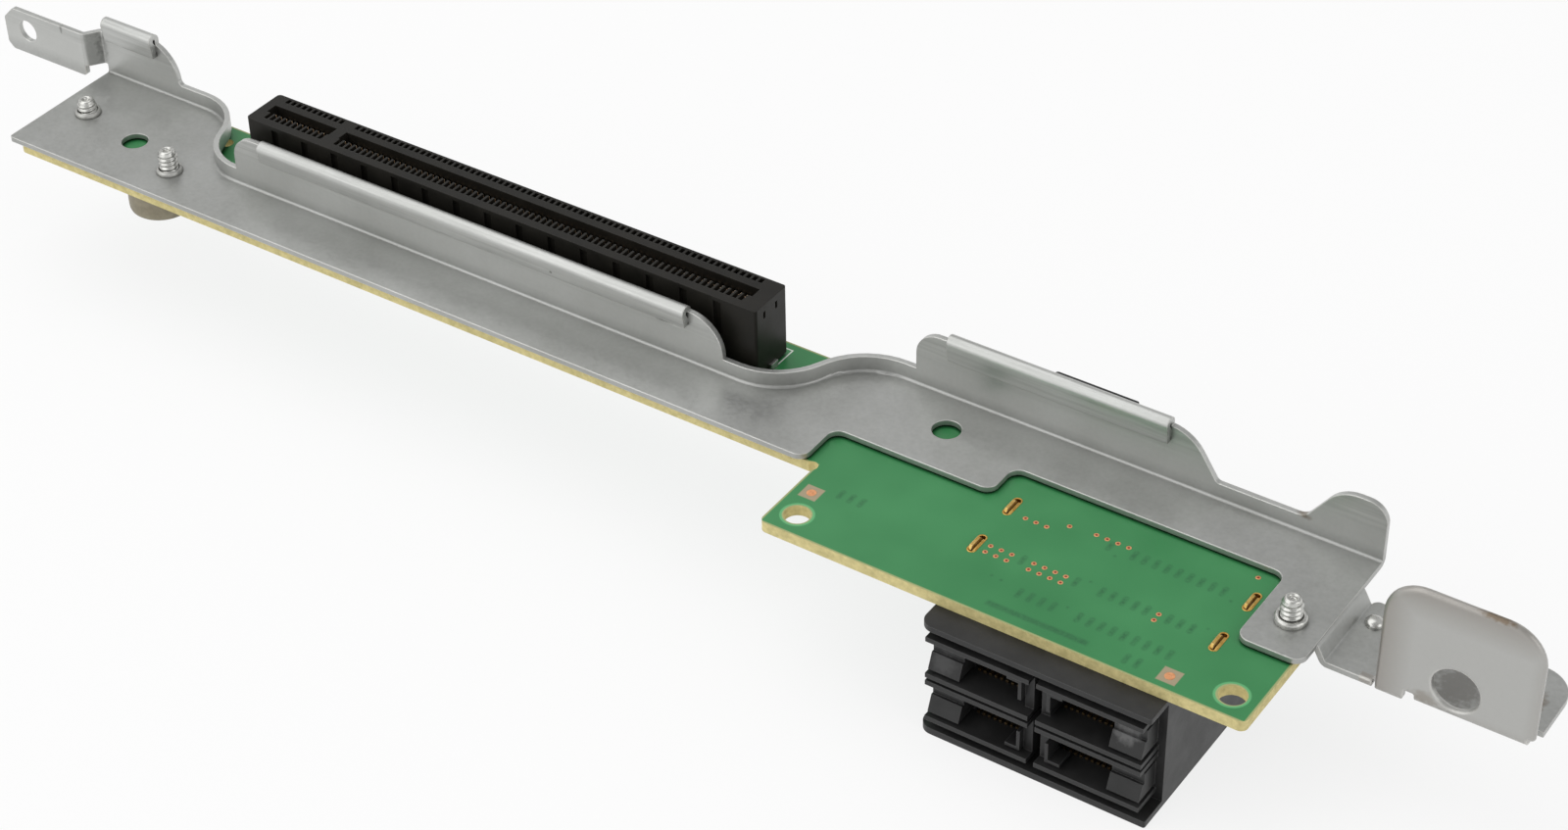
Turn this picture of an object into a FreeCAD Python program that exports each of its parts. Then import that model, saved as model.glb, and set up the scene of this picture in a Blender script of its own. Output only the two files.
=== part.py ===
"""Riser card: a circuit board with a x16 card slot on top and a 2 x 2 cable connector below,
carried by one folded sheet-steel bracket.

Modelling frame, in millimetres: X runs along the card, X = 0 is the axis of the screw hole in the
left tab, Y = 0 is the tab's front face, and Z = 0 is the top face of the board. Every piece is then
lowered by hole_height, so that the finished part's origin is the centre of that screw hole.
"""
import FreeCAD, Part
import math
import os
import re
from types import SimpleNamespace
from FreeCAD import Vector
import Sketcher

# Driving dimensions, in millimetres unless the name says count

SIZES = [
    # folded sheet
    ("sheet_thick", 0.8),
    ("bend_inside", 0.4),
    ("plate_lift", 0.3),
    ("tab_offset", 2.3),
    ("hole_height", 4.9),
    ("plate_left", 14.1),
    ("plate_length", 214.2),
    ("plate_depth", 21.5),
    ("plate_corner", 1.7),
    ("plate_tip_corner", 0.5),
    ("wall_jog", 12.4),
    ("left_straight", 20.0),
    ("left_jog_span", 16.5),
    ("right_straight", 70.0),
    ("right_jog_span", 18.4),
    ("low_wall_height", 3.5),
    # raised walls: where they start and end, heights and hems
    ("side_wall_height", 9.8),
    ("front_wall_height", 9.3),
    ("wall_end_radius", 5.8),
    ("wall_start_radius", 3.6),
    ("wall_foot_radius", 0.8),
    ("left_wall_length", 14.7),
    ("front_wall_inset", 0.6),
    ("front_wall_setback", 2.6),
    ("right_wall_inset", 1.7),
    ("right_wall_length", 44.9),
    ("right_wall_slope", 4.1),
    ("hem_gap", 0.45),
    ("hem_shut_gap", 0.05),
    ("hem_shoulder", 0.2),
    ("hem_slant", 0.7),
    ("hem_root", 1.5),
    ("side_hem_height", 10.15),
    ("front_hem_height", 9.15),
    ("side_hem_lip", 3.0),
    ("front_hem_lip", 2.6),
    ("left_hem_inset", 1.1),
    ("left_hem_setback", 3.7),
    ("front_hem_inset", 5.8),
    ("front_hem_setback", 5.5),
    ("right_hem_inset", 5.3),
    ("right_hem_setback", 6.8),
    ("ear_foot", 11.0),
    ("ear_rise_run", 4.5),
    ("ear_height", 9.7),
    ("ear_foot_radius", 2.0),
    ("ear_rise_radius", 5.0),
    ("ear_corner", 2.8),
    # left tab
    ("tab_reach", 4.7),
    ("tab_gap", 2.5),
    ("tab_joggle_run", 1.6),
    ("tab_bottom", 0.7),
    ("tab_top", 8.1),
    ("tab_low_chamfer", 1.0),
    ("tab_high_chamfer", 2.0),
    ("tab_corner", 0.6),
    ("tab_hole_radius", 1.8),
    ("joggle_bottom", 2.5),
    ("joggle_overlap", 0.6),
    # cut-out in the plate over the wide part of the board
    ("lobe_width", 8.95),
    ("lobe_advance", 0.6),
    ("cutout_deep_length", 39.1),
    ("cutout_shallow_length", 24.0),
    ("cutout_shallow", 7.35),
    ("cutout_deep", 13.05),
    # lower plate and handle ear at the right
    ("joggle_drop", 2.4),
    ("joggle_run", 1.3),
    ("joggle_width", 12.7),
    ("joggle_front_gap", 0.1),
    ("lower_front", 15.8),
    ("lower_depth", 13.7),
    ("lower_overhang", 0.1),
    ("lower_corner", 4.5),
    ("lower_back_corner", 1.0),
    ("slit_depth", 2.9),
    ("slit_width", 0.3),
    ("handle_inset", 6.5),
    ("handle_width", 20.5),
    ("handle_foot", 5.2),
    ("handle_bend_setback", 0.9),
    ("handle_top", 15.4),
    ("handle_radius", 5.2),
    ("handle_edge", 0.5),
    ("handle_relief", 1.4),
    ("handle_relief_room", 0.3),
    ("handle_hole_inset", 10.2),
    ("handle_hole_height", 2.4),
    ("handle_hole_radius", 3.15),
    # holes in the plate
    ("sight_hole_radius", 2.0),
    ("left_sight_inset", 16.8),
    ("left_sight_setback", 9.1),
    ("right_sight_inset", 10.5),
    ("right_sight_setback", 15.0),
    # board
    ("board_thick", 1.6),
    ("board_inset", 1.0),
    ("board_setback", 1.2),
    ("board_front_setback", 0.8),
    ("board_back_setback", 0.4),
    ("board_wide_length", 69.3),
    ("board_wide_reach", 13.4),
    ("board_corner", 1.0),
    ("board_relief_radius", 0.9),
    ("board_relief_inset", 0.5),
    ("tool_hole_radius", 1.8),
    ("tool_hole_inset_x", 3.5),
    ("tool_hole_inset_y", 3.6),
    ("small_hole_inset_x", 26.5),
    ("small_hole_inset_y", 3.8),
    ("small_hole_radius", 1.0),
    # card slot
    ("slot_inset", 1.5),
    ("slot_wall_gap", 1.7),
    ("slot_width", 7.3),
    ("slot_height", 11.25),
    ("slot_left_corner", 0.6),
    ("slot_right_corner", 0.4),
    ("slot_foot_height", 0.4),
    ("slot_foot_length", 2.0),
    ("slot_foot_inset", 1.0),
    ("contact_pitch", 1.0),
    ("contact_first", 2.55),
    ("contact_last", 3.45),
    ("contact_key_gap", 3.0),
    ("short_side_count", 11),
    ("long_side_count", 71),
    ("channel_setback", 2.8),
    ("channel_width", 1.9),
    ("channel_depth", 8.4),
    ("channel_margin", 1.0),
    ("card_key_width", 1.75),
    ("window_width", 0.65),
    ("front_window_setback", 1.3),
    ("rear_window_gap", 1.25),
    ("rear_window_depth", 1.0),
    ("window_lid", 1.5),
    ("cavity_floor", 1.2),
    ("contact_width", 0.4),
    ("contact_thick", 0.2),
    ("contact_wall_gap", 0.1),
    ("contact_tip_gap", 0.15),
    ("front_tip_height", 10.7),
    ("rear_tip_height", 9.5),
    ("side_pocket_count", 15),
    ("side_pocket_pitch", 5.53),
    ("side_pocket_first", 5.3),
    ("side_pocket_width", 1.3),
    ("side_pocket_depth", 0.5),
    ("side_pocket_margin", 0.65),
    ("side_pocket_bottom", 2.0),
    ("end_mark_first", 2.0),
    ("end_mark_pitch", 2.8),
    ("end_mark_height", 9.1),
    ("end_mark_length", 1.1),
    ("end_mark_width", 0.5),
    ("end_mark_depth", 0.3),
    ("solder_tab_thick", 0.4),
    ("solder_tab_width", 1.6),
    ("solder_tab_height", 0.9),
    # cable connector
    ("port_setback", 10.2),
    ("port_reach", 4.0),
    ("port_depth", 28.2),
    ("port_overhang", 4.4),
    ("port_lid", 0.8),
    ("port_floor", 1.0),
    ("port_corner", 1.8),
    ("port_small_corner", 0.3),
    ("shelf_margin", 1.0),
    ("shelf_gap", 1.1),
    ("shelf_thick", 0.7),
    ("shelf_clearance", 1.15),
    ("row_height", 6.65),
    ("row_gap", 0.5),
    ("key_inset", 0.2),
    ("key_width", 4.5),
    ("key_top_gap", 0.95),
    ("key_bottom_gap", 0.5),
    ("key_step_height", 2.2),
    ("key_step_setback", 1.3),
    ("key_front_setback", 0.4),
    ("key_slope_setback", 0.9),
    ("port_opening_width", 8.8),
    ("partition_width", 1.25),
    ("partition_setback", 1.6),
    ("port_pocket_depth", 9.5),
    ("rib_thick", 0.45),
    ("rib_height", 3.1),
    ("rib_width", 2.1),
    ("rib_length", 2.8),
    ("rib_setback", 0.5),
    ("rib_shelf_gap", 0.45),
    ("port_contact_count", 10),
    ("port_contact_pitch", 0.8),
    ("port_contact_width", 0.4),
    ("port_contact_height", 0.3),
    ("port_contact_length", 5.5),
    # legs that hold the cable connector
    ("lock_gap", 0.55),
    ("lock_thick", 0.5),
    ("lock_width", 2.8),
    ("lock_height", 7.0),
    ("lock_drop", 0.15),
    ("lock_back_inset", 4.4),
    ("lock_pitch", 8.7),
    ("lock_root", 0.5),
    ("plated_length", 3.9),
    ("plated_width", 1.3),
    ("plating_wall", 0.2),
    ("plating_proud", 0.05),
    # screws, nuts, foot, stud and pad
    ("thread_radius", 1.45),
    ("thread_clearance", 0.05),
    ("thread_chamfer", 0.4),
    ("short_screw_tip", 4.1),
    ("long_screw_tip", 5.55),
    ("screw_head_radius", 2.8),
    ("screw_head_height", 1.9),
    ("screw_head_chamfer", 0.6),
    ("driver_radius", 1.2),
    ("driver_depth", 1.1),
    ("nut_radius", 2.15),
    ("nut_height", 1.0),
    ("nut_chamfer", 0.25),
    ("nut_shank_radius", 1.9),
    ("board_screw_clearance", 0.2),
    ("short_screw_inset", 5.5),
    ("short_screw_setback", 11.1),
    ("left_screw_inset", 26.65),
    ("left_screw_setback", 5.9),
    ("right_screw_inset", 4.6),
    ("right_screw_setback", 5.65),
    ("foot_inset", 17.6),
    ("foot_setback", 10.3),
    ("foot_radius", 5.0),
    ("foot_flange_radius", 5.9),
    ("foot_flange_height", 1.2),
    ("foot_waist", 0.35),
    ("foot_ring_height", 1.5),
    ("foot_height", 9.0),
    ("foot_chamfer", 0.5),
    ("stud_inset", 1.9),
    ("stud_setback", 4.0),
    ("stud_radius", 1.25),
    ("stud_crown_radius", 0.75),
    ("stud_shank_radius", 0.8),
    ("stud_height", 0.9),
    ("stud_rim_height", 0.45),
    ("pad_inset", 20.0),
    ("pad_length", 12.3),
    ("pad_thick", 1.5),
    ("pad_height", 6.7),
    ("pad_bottom", 3.0),
    ("pad_corner", 0.4),
]

doc = FreeCAD.newDocument("riser_card")


def make_sheet(name, rows):
    """Spreadsheet with one named number a row; gives the numbers back as attributes."""
    sheet = doc.addObject("Spreadsheet::Sheet", name)
    for row, (alias, amount) in enumerate(rows, start=1):
        sheet.set(f"A{row}", alias)
        sheet.set(f"B{row}", str(amount))
        sheet.setAlias(f"B{row}", alias)
    doc.recompute()
    return SimpleNamespace(**{alias: float(sheet.get(alias)) for alias, _ in rows})


size = make_sheet("sizes", SIZES)
tiny = 0.001
outer_bend = size.sheet_thick + size.bend_inside

# Places worked out from the driving dimensions; they go into a sheet of their own

spot = SimpleNamespace()
spot.plate_top = size.plate_lift + size.sheet_thick
spot.plate_right = size.plate_left + size.plate_length
spot.back_inner = size.tab_offset
spot.back_outer = spot.back_inner + size.sheet_thick
spot.front_inner = spot.back_inner - size.wall_jog
spot.front_outer = spot.front_inner + size.sheet_thick
spot.plate_front = spot.back_inner - size.plate_depth
spot.left_jog_start = size.plate_left + size.left_straight
spot.left_jog_end = spot.left_jog_start + size.left_jog_span
spot.right_jog_end = spot.plate_right - size.right_straight
spot.right_jog_start = spot.right_jog_end - size.right_jog_span

spot.left_wall_end = size.plate_left + size.left_wall_length
spot.front_wall_start = spot.left_jog_end + size.front_wall_inset
spot.front_wall_end = spot.right_jog_start - size.front_wall_setback
spot.right_wall_start = spot.right_jog_end + size.right_wall_inset
spot.right_wall_end = spot.right_wall_start + size.right_wall_length
spot.left_hem_start = size.plate_left + size.left_hem_inset
spot.left_hem_end = spot.left_wall_end - size.left_hem_setback
spot.front_hem_start = spot.front_wall_start + size.front_hem_inset
spot.front_hem_end = spot.front_wall_end - size.front_hem_setback
spot.right_hem_start = spot.right_wall_start + size.right_hem_inset
spot.right_hem_end = spot.right_wall_end - size.right_hem_setback
spot.ear_start = spot.plate_right - size.ear_foot
spot.tab_end = size.plate_left - size.tab_gap

spot.cutout_right = spot.plate_right - size.lobe_width
spot.cutout_step = spot.cutout_right - size.cutout_deep_length
spot.cutout_left = spot.cutout_step - size.cutout_shallow_length
spot.left_sight_x = size.plate_left + size.left_sight_inset
spot.left_sight_y = spot.plate_front + size.left_sight_setback
spot.right_sight_x = spot.right_jog_end + size.right_sight_inset
spot.right_sight_y = spot.plate_front + size.right_sight_setback

spot.lower_left = spot.plate_right + size.joggle_run
spot.lower_bottom = size.plate_lift - size.joggle_drop
spot.lower_back = size.lower_depth - size.lower_front
spot.handle_front = -size.lower_front
spot.handle_left = spot.lower_left + size.handle_inset
spot.handle_right = spot.handle_left + size.handle_width
spot.handle_bend_left = spot.handle_left + size.handle_foot
spot.handle_bend_right = spot.handle_right - size.handle_bend_setback
spot.handle_hole_x = spot.handle_left + size.handle_hole_inset
spot.lower_right = spot.handle_right + size.lower_overhang

spot.board_left = size.plate_left + size.board_inset
spot.board_right = spot.plate_right - size.board_setback
spot.board_front = spot.plate_front + size.board_front_setback
spot.board_back = spot.back_inner - size.board_back_setback
spot.board_wide_start = spot.board_right - size.board_wide_length
spot.board_wide_front = spot.board_front - size.board_wide_reach

spot.slot_left = spot.left_jog_end + size.slot_inset
spot.slot_front = spot.front_outer + size.slot_wall_gap
spot.slot_back = spot.slot_front + size.slot_width
spot.channel_front = spot.slot_front + size.channel_setback
spot.channel_back = spot.channel_front + size.channel_width
spot.channel_middle = spot.channel_front + size.channel_width / 2
spot.slot_right = (spot.slot_left + size.contact_first + size.contact_key_gap + size.contact_last
                   + (size.short_side_count + size.long_side_count - 2) * size.contact_pitch)

spot.port_width = size.shelf_gap + 2 * (size.partition_width + size.port_opening_width + size.key_width
                                        + size.key_inset + size.shelf_margin)
spot.port_right = spot.board_right - size.port_setback
spot.port_left = spot.port_right - spot.port_width
spot.port_centre = (spot.port_left + spot.port_right) / 2
spot.port_height = (size.port_lid + size.port_floor + 2 * size.shelf_clearance + 2 * size.row_height
                    + size.row_gap)
spot.port_top = -size.board_thick
spot.port_bottom = spot.port_top - spot.port_height
spot.port_front = spot.board_wide_front - size.port_reach
spot.port_block_front = spot.port_front + size.port_overhang
spot.port_back = spot.port_front + size.port_depth
spot.lock_back_y = spot.port_back - size.lock_back_inset
spot.lock_front_y = spot.lock_back_y - size.lock_pitch
spot.lock_offset = spot.port_width / 2 + size.lock_gap + size.lock_thick / 2

spot.short_screw_x = size.plate_left + size.short_screw_inset
spot.short_screw_y = spot.plate_front + size.short_screw_setback
spot.left_screw_x = size.plate_left + size.left_screw_inset
spot.left_screw_y = spot.plate_front + size.left_screw_setback
spot.right_screw_x = spot.plate_right - size.right_screw_inset
spot.right_screw_y = spot.plate_front + size.right_screw_setback
spot.foot_x = spot.board_left + size.foot_inset
spot.foot_y = spot.board_front + size.foot_setback
spot.stud_x = spot.lower_left + size.stud_inset
spot.stud_y = spot.lower_back - size.stud_setback
spot.pad_left = spot.right_wall_start + size.pad_inset
make_sheet("places", list(vars(spot).items()))

pieces = []


def bind(target, name, expression):
    """Ties one property of a feature to the two sheets; a size or place is written in braces."""
    def full_name(match):
        owner = "sizes." if hasattr(size, match[1]) else "places."
        return owner + match[1]
    target.setExpression(name, re.sub(r"\{(\w+)\}", full_name, expression))


def finish(target, label):
    """Names a finished piece, sets it in the part's own frame and keeps it for export."""
    target.Label = label
    bind(target, "Placement.Base.z", "-{hole_height}")
    pieces.append(target)


def rounded_loop(corners):
    """Lines and arcs of a closed outline; a corner is (x, y) or (x, y, radius)."""
    count = len(corners)
    enters = []
    leaves = []
    shapes = []
    for index, corner in enumerate(corners):
        here = Vector(corner[0], corner[1], 0)
        radius = corner[2] if len(corner) > 2 else 0
        if radius == 0:
            enters.append(here)
            leaves.append(here)
            continue
        last = corners[index - 1]
        following = corners[(index + 1) % count]
        back = (Vector(last[0], last[1], 0) - here).normalize()
        ahead = (Vector(following[0], following[1], 0) - here).normalize()
        half = back.getAngle(ahead) / 2
        reach = radius / math.tan(half)
        enter = here + back * reach
        leave = here + ahead * reach
        centre = here + (back + ahead).normalize() * (radius / math.sin(half))
        first, second = (leave, enter) if back.cross(ahead).z > 0 else (enter, leave)
        shapes.append(arc(centre, radius, first, second))
        enters.append(enter)
        leaves.append(leave)
    for index in range(count):
        end = enters[(index + 1) % count]
        if leaves[index].distanceToPoint(end) > tiny:
            shapes.append(Part.LineSegment(leaves[index], end))
    return shapes


def arc(centre, radius, first, second):
    """Arc that runs anticlockwise from the first point to the second."""
    start = math.atan2(first.y - centre.y, first.x - centre.x)
    stop = math.atan2(second.y - centre.y, second.x - centre.x)
    if stop < start:
        stop += 2 * math.pi
    return Part.ArcOfCircle(Part.Circle(centre, Vector(0, 0, 1), radius), start, stop)


def rectangle(left, low, right, high):
    return rounded_loop([(left, low), (right, low), (right, high), (left, high)])


def circle(x, y, radius):
    return [Part.Circle(Vector(x, y, 0), Vector(0, 0, 1), radius)]


def sketch(body, name, plane, geometry, offset=None):
    """Sketch on one of the body's own origin planes, moved along the plane's normal."""
    made = body.newObject("Sketcher::SketchObject", name)
    support = [item for item in body.Origin.OriginFeatures if item.Role == plane][0]
    made.AttachmentSupport = [(support, "")]
    made.MapMode = "FlatFace"
    if offset:
        bind(made, "AttachmentOffset.Base.z", offset)
    made.addGeometry(geometry, False)
    return made


def pad(body, name, profile, length, reversed_way=False):
    made = body.newObject("PartDesign::Pad", name)
    made.Profile = profile
    bind(made, "Length", length)
    made.Reversed = reversed_way
    profile.Visibility = False
    body.Tip = made
    return made


def pocket(body, name, profile, length=None, reversed_way=False, both_ways=False):
    """Pocket of a given depth, or through everything; it must remove material."""
    doc.recompute()
    before = body.Shape.Volume
    made = body.newObject("PartDesign::Pocket", name)
    made.Profile = profile
    if length:
        bind(made, "Length", length)
    elif both_ways:
        made.Type = "ThroughAll"
        made.Midplane = True
    else:
        made.Type = "ThroughAll"
    made.Reversed = reversed_way
    profile.Visibility = False
    body.Tip = made
    doc.recompute()
    if body.Shape.Volume > before - tiny:
        raise RuntimeError(f"{name} cuts nothing")
    return made


def fillet(body, name, radius, wanted):
    """Fillet on every edge of the body that the wanted test accepts."""
    doc.recompute()
    base = body.Tip
    names = [f"Edge{number}" for number, edge in enumerate(base.Shape.Edges, start=1) if wanted(edge)]
    if not names:
        raise RuntimeError(f"{name} finds no edge")
    made = body.newObject("PartDesign::Fillet", name)
    made.Base = (base, names)
    bind(made, "Radius", radius)
    body.Tip = made
    doc.recompute()
    if "Invalid" in made.State:
        raise RuntimeError(f"{name} failed on {len(names)} edges")
    return made


def samples(edge):
    """Five points along an edge."""
    first, last = edge.ParameterRange
    return [edge.valueAt(first + (last - first) * step / 4) for step in range(5)]


def all_at(edge, test):
    return all(test(point) for point in samples(edge))


def near(value, target, slack=0.01):
    return abs(value - target) < slack


# Bracket: the line of the back wall, with its two S-shaped jogs

def jog(span):
    """Turn and radius of the two equal arcs that make a jog of wall_jog in this span."""
    turn = 2 * math.atan(size.wall_jog / span)
    return turn, span / (2 * math.sin(turn))


def wall_line(offset):
    """Pieces of the wall's plan line, left to right; a positive offset is towards the back."""
    left_turn, left_radius = jog(size.left_jog_span)
    right_turn, right_radius = jog(size.right_jog_span)
    back, front = spot.back_inner, spot.front_inner
    quarter = math.pi / 2
    arcs = [
        (spot.left_jog_start, back - left_radius, left_radius + offset, quarter - left_turn, quarter),
        (spot.left_jog_end, front + left_radius, left_radius - offset, 3 * quarter - left_turn, 3 * quarter),
        (spot.right_jog_start, front + right_radius, right_radius - offset, 3 * quarter,
         3 * quarter + right_turn),
        (spot.right_jog_end, back - right_radius, right_radius + offset, quarter, quarter + right_turn),
    ]
    curves = [Part.ArcOfCircle(Part.Circle(Vector(x, y, 0), Vector(0, 0, 1), radius), start, stop)
              for x, y, radius, start, stop in arcs]
    straights = [
        (size.plate_left, spot.left_jog_start, back + offset),
        (spot.left_jog_end, spot.right_jog_start, front + offset),
        (spot.right_jog_end, spot.plate_right, back + offset),
    ]
    lines = [Part.LineSegment(Vector(start, y, 0), Vector(stop, y, 0)) for start, stop, y in straights]
    return lines + curves


def on_wall_line(offset, height):
    """Test for the edges that lie on the wall's plan line at one height."""
    line = Part.Compound([piece.toShape() for piece in wall_line(offset)])

    def test(edge):
        return all_at(edge, lambda point: near(point.z, height)
                      and line.distToShape(Part.Vertex(point.x, point.y, 0))[0] < 0.01)
    return test


def plate_outline():
    """Closed outline of the flat plate, from the left end along the front to the right end."""
    corner = size.plate_corner
    shallow = spot.plate_front + size.cutout_shallow
    deep = spot.plate_front + size.cutout_deep
    lobe = spot.plate_front - size.lobe_advance
    sides = rounded_loop([
        (size.plate_left, spot.back_outer),
        (size.plate_left, spot.plate_front, size.plate_tip_corner),
        (spot.cutout_left, spot.plate_front, corner),
        (spot.cutout_left, shallow, corner),
        (spot.cutout_step, shallow, corner),
        (spot.cutout_step, deep, corner),
        (spot.cutout_right, deep, corner),
        (spot.cutout_right, lobe, corner),
        (spot.plate_right, lobe, corner),
        (spot.plate_right, spot.back_outer),
    ])
    # The closing side is the wall's line instead of a straight one
    kept = [piece for piece in sides
            if not (isinstance(piece, Part.LineSegment)
                    and near(piece.StartPoint.y, spot.back_outer) and near(piece.EndPoint.y, spot.back_outer))]
    return kept + wall_line(size.sheet_thick)


def wall_strip():
    """Plan of the wall: the strip of sheet between its inner and its outer face."""
    ends = [Part.LineSegment(Vector(x, spot.back_inner, 0), Vector(x, spot.back_outer, 0))
            for x in (size.plate_left, spot.plate_right)]
    return wall_line(0) + wall_line(size.sheet_thick) + ends


def above_the_walls():
    """Everything over the wall's top line, as seen from the front."""
    low = size.low_wall_height
    side = size.side_wall_height
    front = size.front_wall_height
    over = side + 2
    foot = size.wall_foot_radius
    left = size.plate_left - 1
    right = spot.plate_right + 1
    return rounded_loop([
        (left, over),
        (left, side),
        (spot.left_wall_end, side, size.wall_end_radius),
        (spot.left_wall_end, low, foot),
        (spot.front_wall_start, low),
        (spot.front_wall_start, front, size.wall_start_radius),
        (spot.front_hem_start, front),
        (spot.front_hem_start, size.front_hem_height),
        (spot.front_hem_end, size.front_hem_height),
        (spot.front_hem_end, front),
        (spot.front_wall_end, front, size.front_hem_setback),
        (spot.front_wall_end, low),
        (spot.right_wall_start, low),
        (spot.right_wall_start, side, size.wall_start_radius),
        (spot.right_wall_end - size.right_wall_slope, side, size.wall_end_radius),
        (spot.right_wall_end, low, foot),
        (spot.ear_start, low, size.ear_foot_radius),
        (spot.ear_start + size.ear_rise_run, size.ear_height, size.ear_rise_radius),
        (spot.plate_right, size.ear_height, size.ear_corner),
        (spot.plate_right, low),
        (right, low),
        (right, over),
    ])


def hem(body, name, inner, height, lip):
    """Top edge of a raised wall, folded over to the front, down, and shut against the wall."""
    small = size.hem_gap / 2
    large = small + size.sheet_thick
    shut = size.hem_gap - size.hem_shut_gap
    root = height - size.hem_root
    shoulder = height - size.hem_shoulder
    bend = shoulder - size.hem_slant
    foot = height + large - lip
    outer = inner + size.sheet_thick
    lip_back = inner - size.hem_gap
    lip_front = lip_back - size.sheet_thick
    middle = Vector(inner - small, height, 0)
    front_run = [(lip_front, height), (lip_front, shoulder), (lip_front + shut, bend), (lip_front + shut, foot),
                 (lip_back + shut, foot), (lip_back + shut, bend), (lip_back, shoulder), (lip_back, height)]
    back_run = [(inner, height), (inner, root), (outer, root), (outer, height)]
    geometry = [
        arc(middle, large, Vector(outer, height, 0), Vector(lip_front, height, 0)),
        arc(middle, small, Vector(inner, height, 0), Vector(lip_back, height, 0)),
    ]
    for run in (front_run, back_run):
        corners = [Vector(y, z, 0) for y, z in run]
        geometry += [Part.LineSegment(first, second) for first, second in zip(corners, corners[1:])]
    profile = sketch(body, name + "_profile", "YZ_Plane", geometry, "{" + name + "_start}")
    return pad(body, name, profile, "{" + name + "_end} - {" + name + "_start}")


def joggle_outline(start, stop, low, high):
    """Section of the sheet where it steps from one level to another between start and stop.

    The levels are of the sheet's lower face; the step keeps the sheet's full thickness.
    """
    thick = size.sheet_thick
    rise = high - low
    slant = math.atan2(abs(rise), stop - start)
    shift = math.copysign(thick * math.tan(slant / 2), rise)
    inside = size.bend_inside
    first_radius, last_radius = (outer_bend, inside) if rise < 0 else (inside, outer_bend)
    overlap = outer_bend * math.tan(slant / 2) + size.joggle_overlap
    return rounded_loop([
        (start - overlap, low),
        (start + shift, low, inside + outer_bend - first_radius),
        (stop + shift, high, inside + outer_bend - last_radius),
        (stop + overlap, high),
        (stop + overlap, high + thick),
        (stop, high + thick, last_radius),
        (start, low + thick, first_radius),
        (start - overlap, low + thick),
    ])


def handle_outline():
    """Front view of the handle ear, with the two bend reliefs at its foot."""
    bottom = spot.lower_bottom
    relief_top = bottom + outer_bend + size.handle_relief_room
    corner = size.slit_width
    return rounded_loop([
        (spot.handle_left, bottom),
        (spot.handle_bend_left - size.handle_relief, bottom, corner),
        (spot.handle_bend_left - size.handle_relief, relief_top, corner),
        (spot.handle_bend_left, relief_top, corner),
        (spot.handle_bend_left, bottom),
        (spot.handle_bend_right, bottom),
        (spot.handle_bend_right, relief_top, corner),
        (spot.handle_right, relief_top),
        (spot.handle_right, size.handle_top, size.handle_radius),
        (spot.handle_left, size.handle_top, size.handle_radius),
    ])


def lower_plate_outline():
    """Plan of the lower plate; its front edge is set back beside the handle's bend."""
    slit_back = spot.handle_front + size.slit_depth
    front_edge = spot.handle_front + size.joggle_front_gap
    slit_left = spot.handle_left - size.slit_width
    corner = size.slit_width / 3
    return rounded_loop([
        (spot.lower_left, front_edge, corner),
        (slit_left, front_edge, corner),
        (slit_left, slit_back, corner),
        (spot.handle_bend_left, slit_back, corner),
        (spot.handle_bend_left, spot.handle_front),
        (spot.handle_bend_right, spot.handle_front),
        (spot.handle_bend_right, slit_back, corner),
        (spot.lower_right, slit_back, corner),
        (spot.lower_right, spot.lower_back, size.lower_corner),
        (spot.lower_left, spot.lower_back, size.lower_back_corner),
    ])


screw_places = [
    (spot.short_screw_x, spot.short_screw_y),
    (spot.left_screw_x, spot.left_screw_y),
    (spot.right_screw_x, spot.right_screw_y),
]


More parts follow.
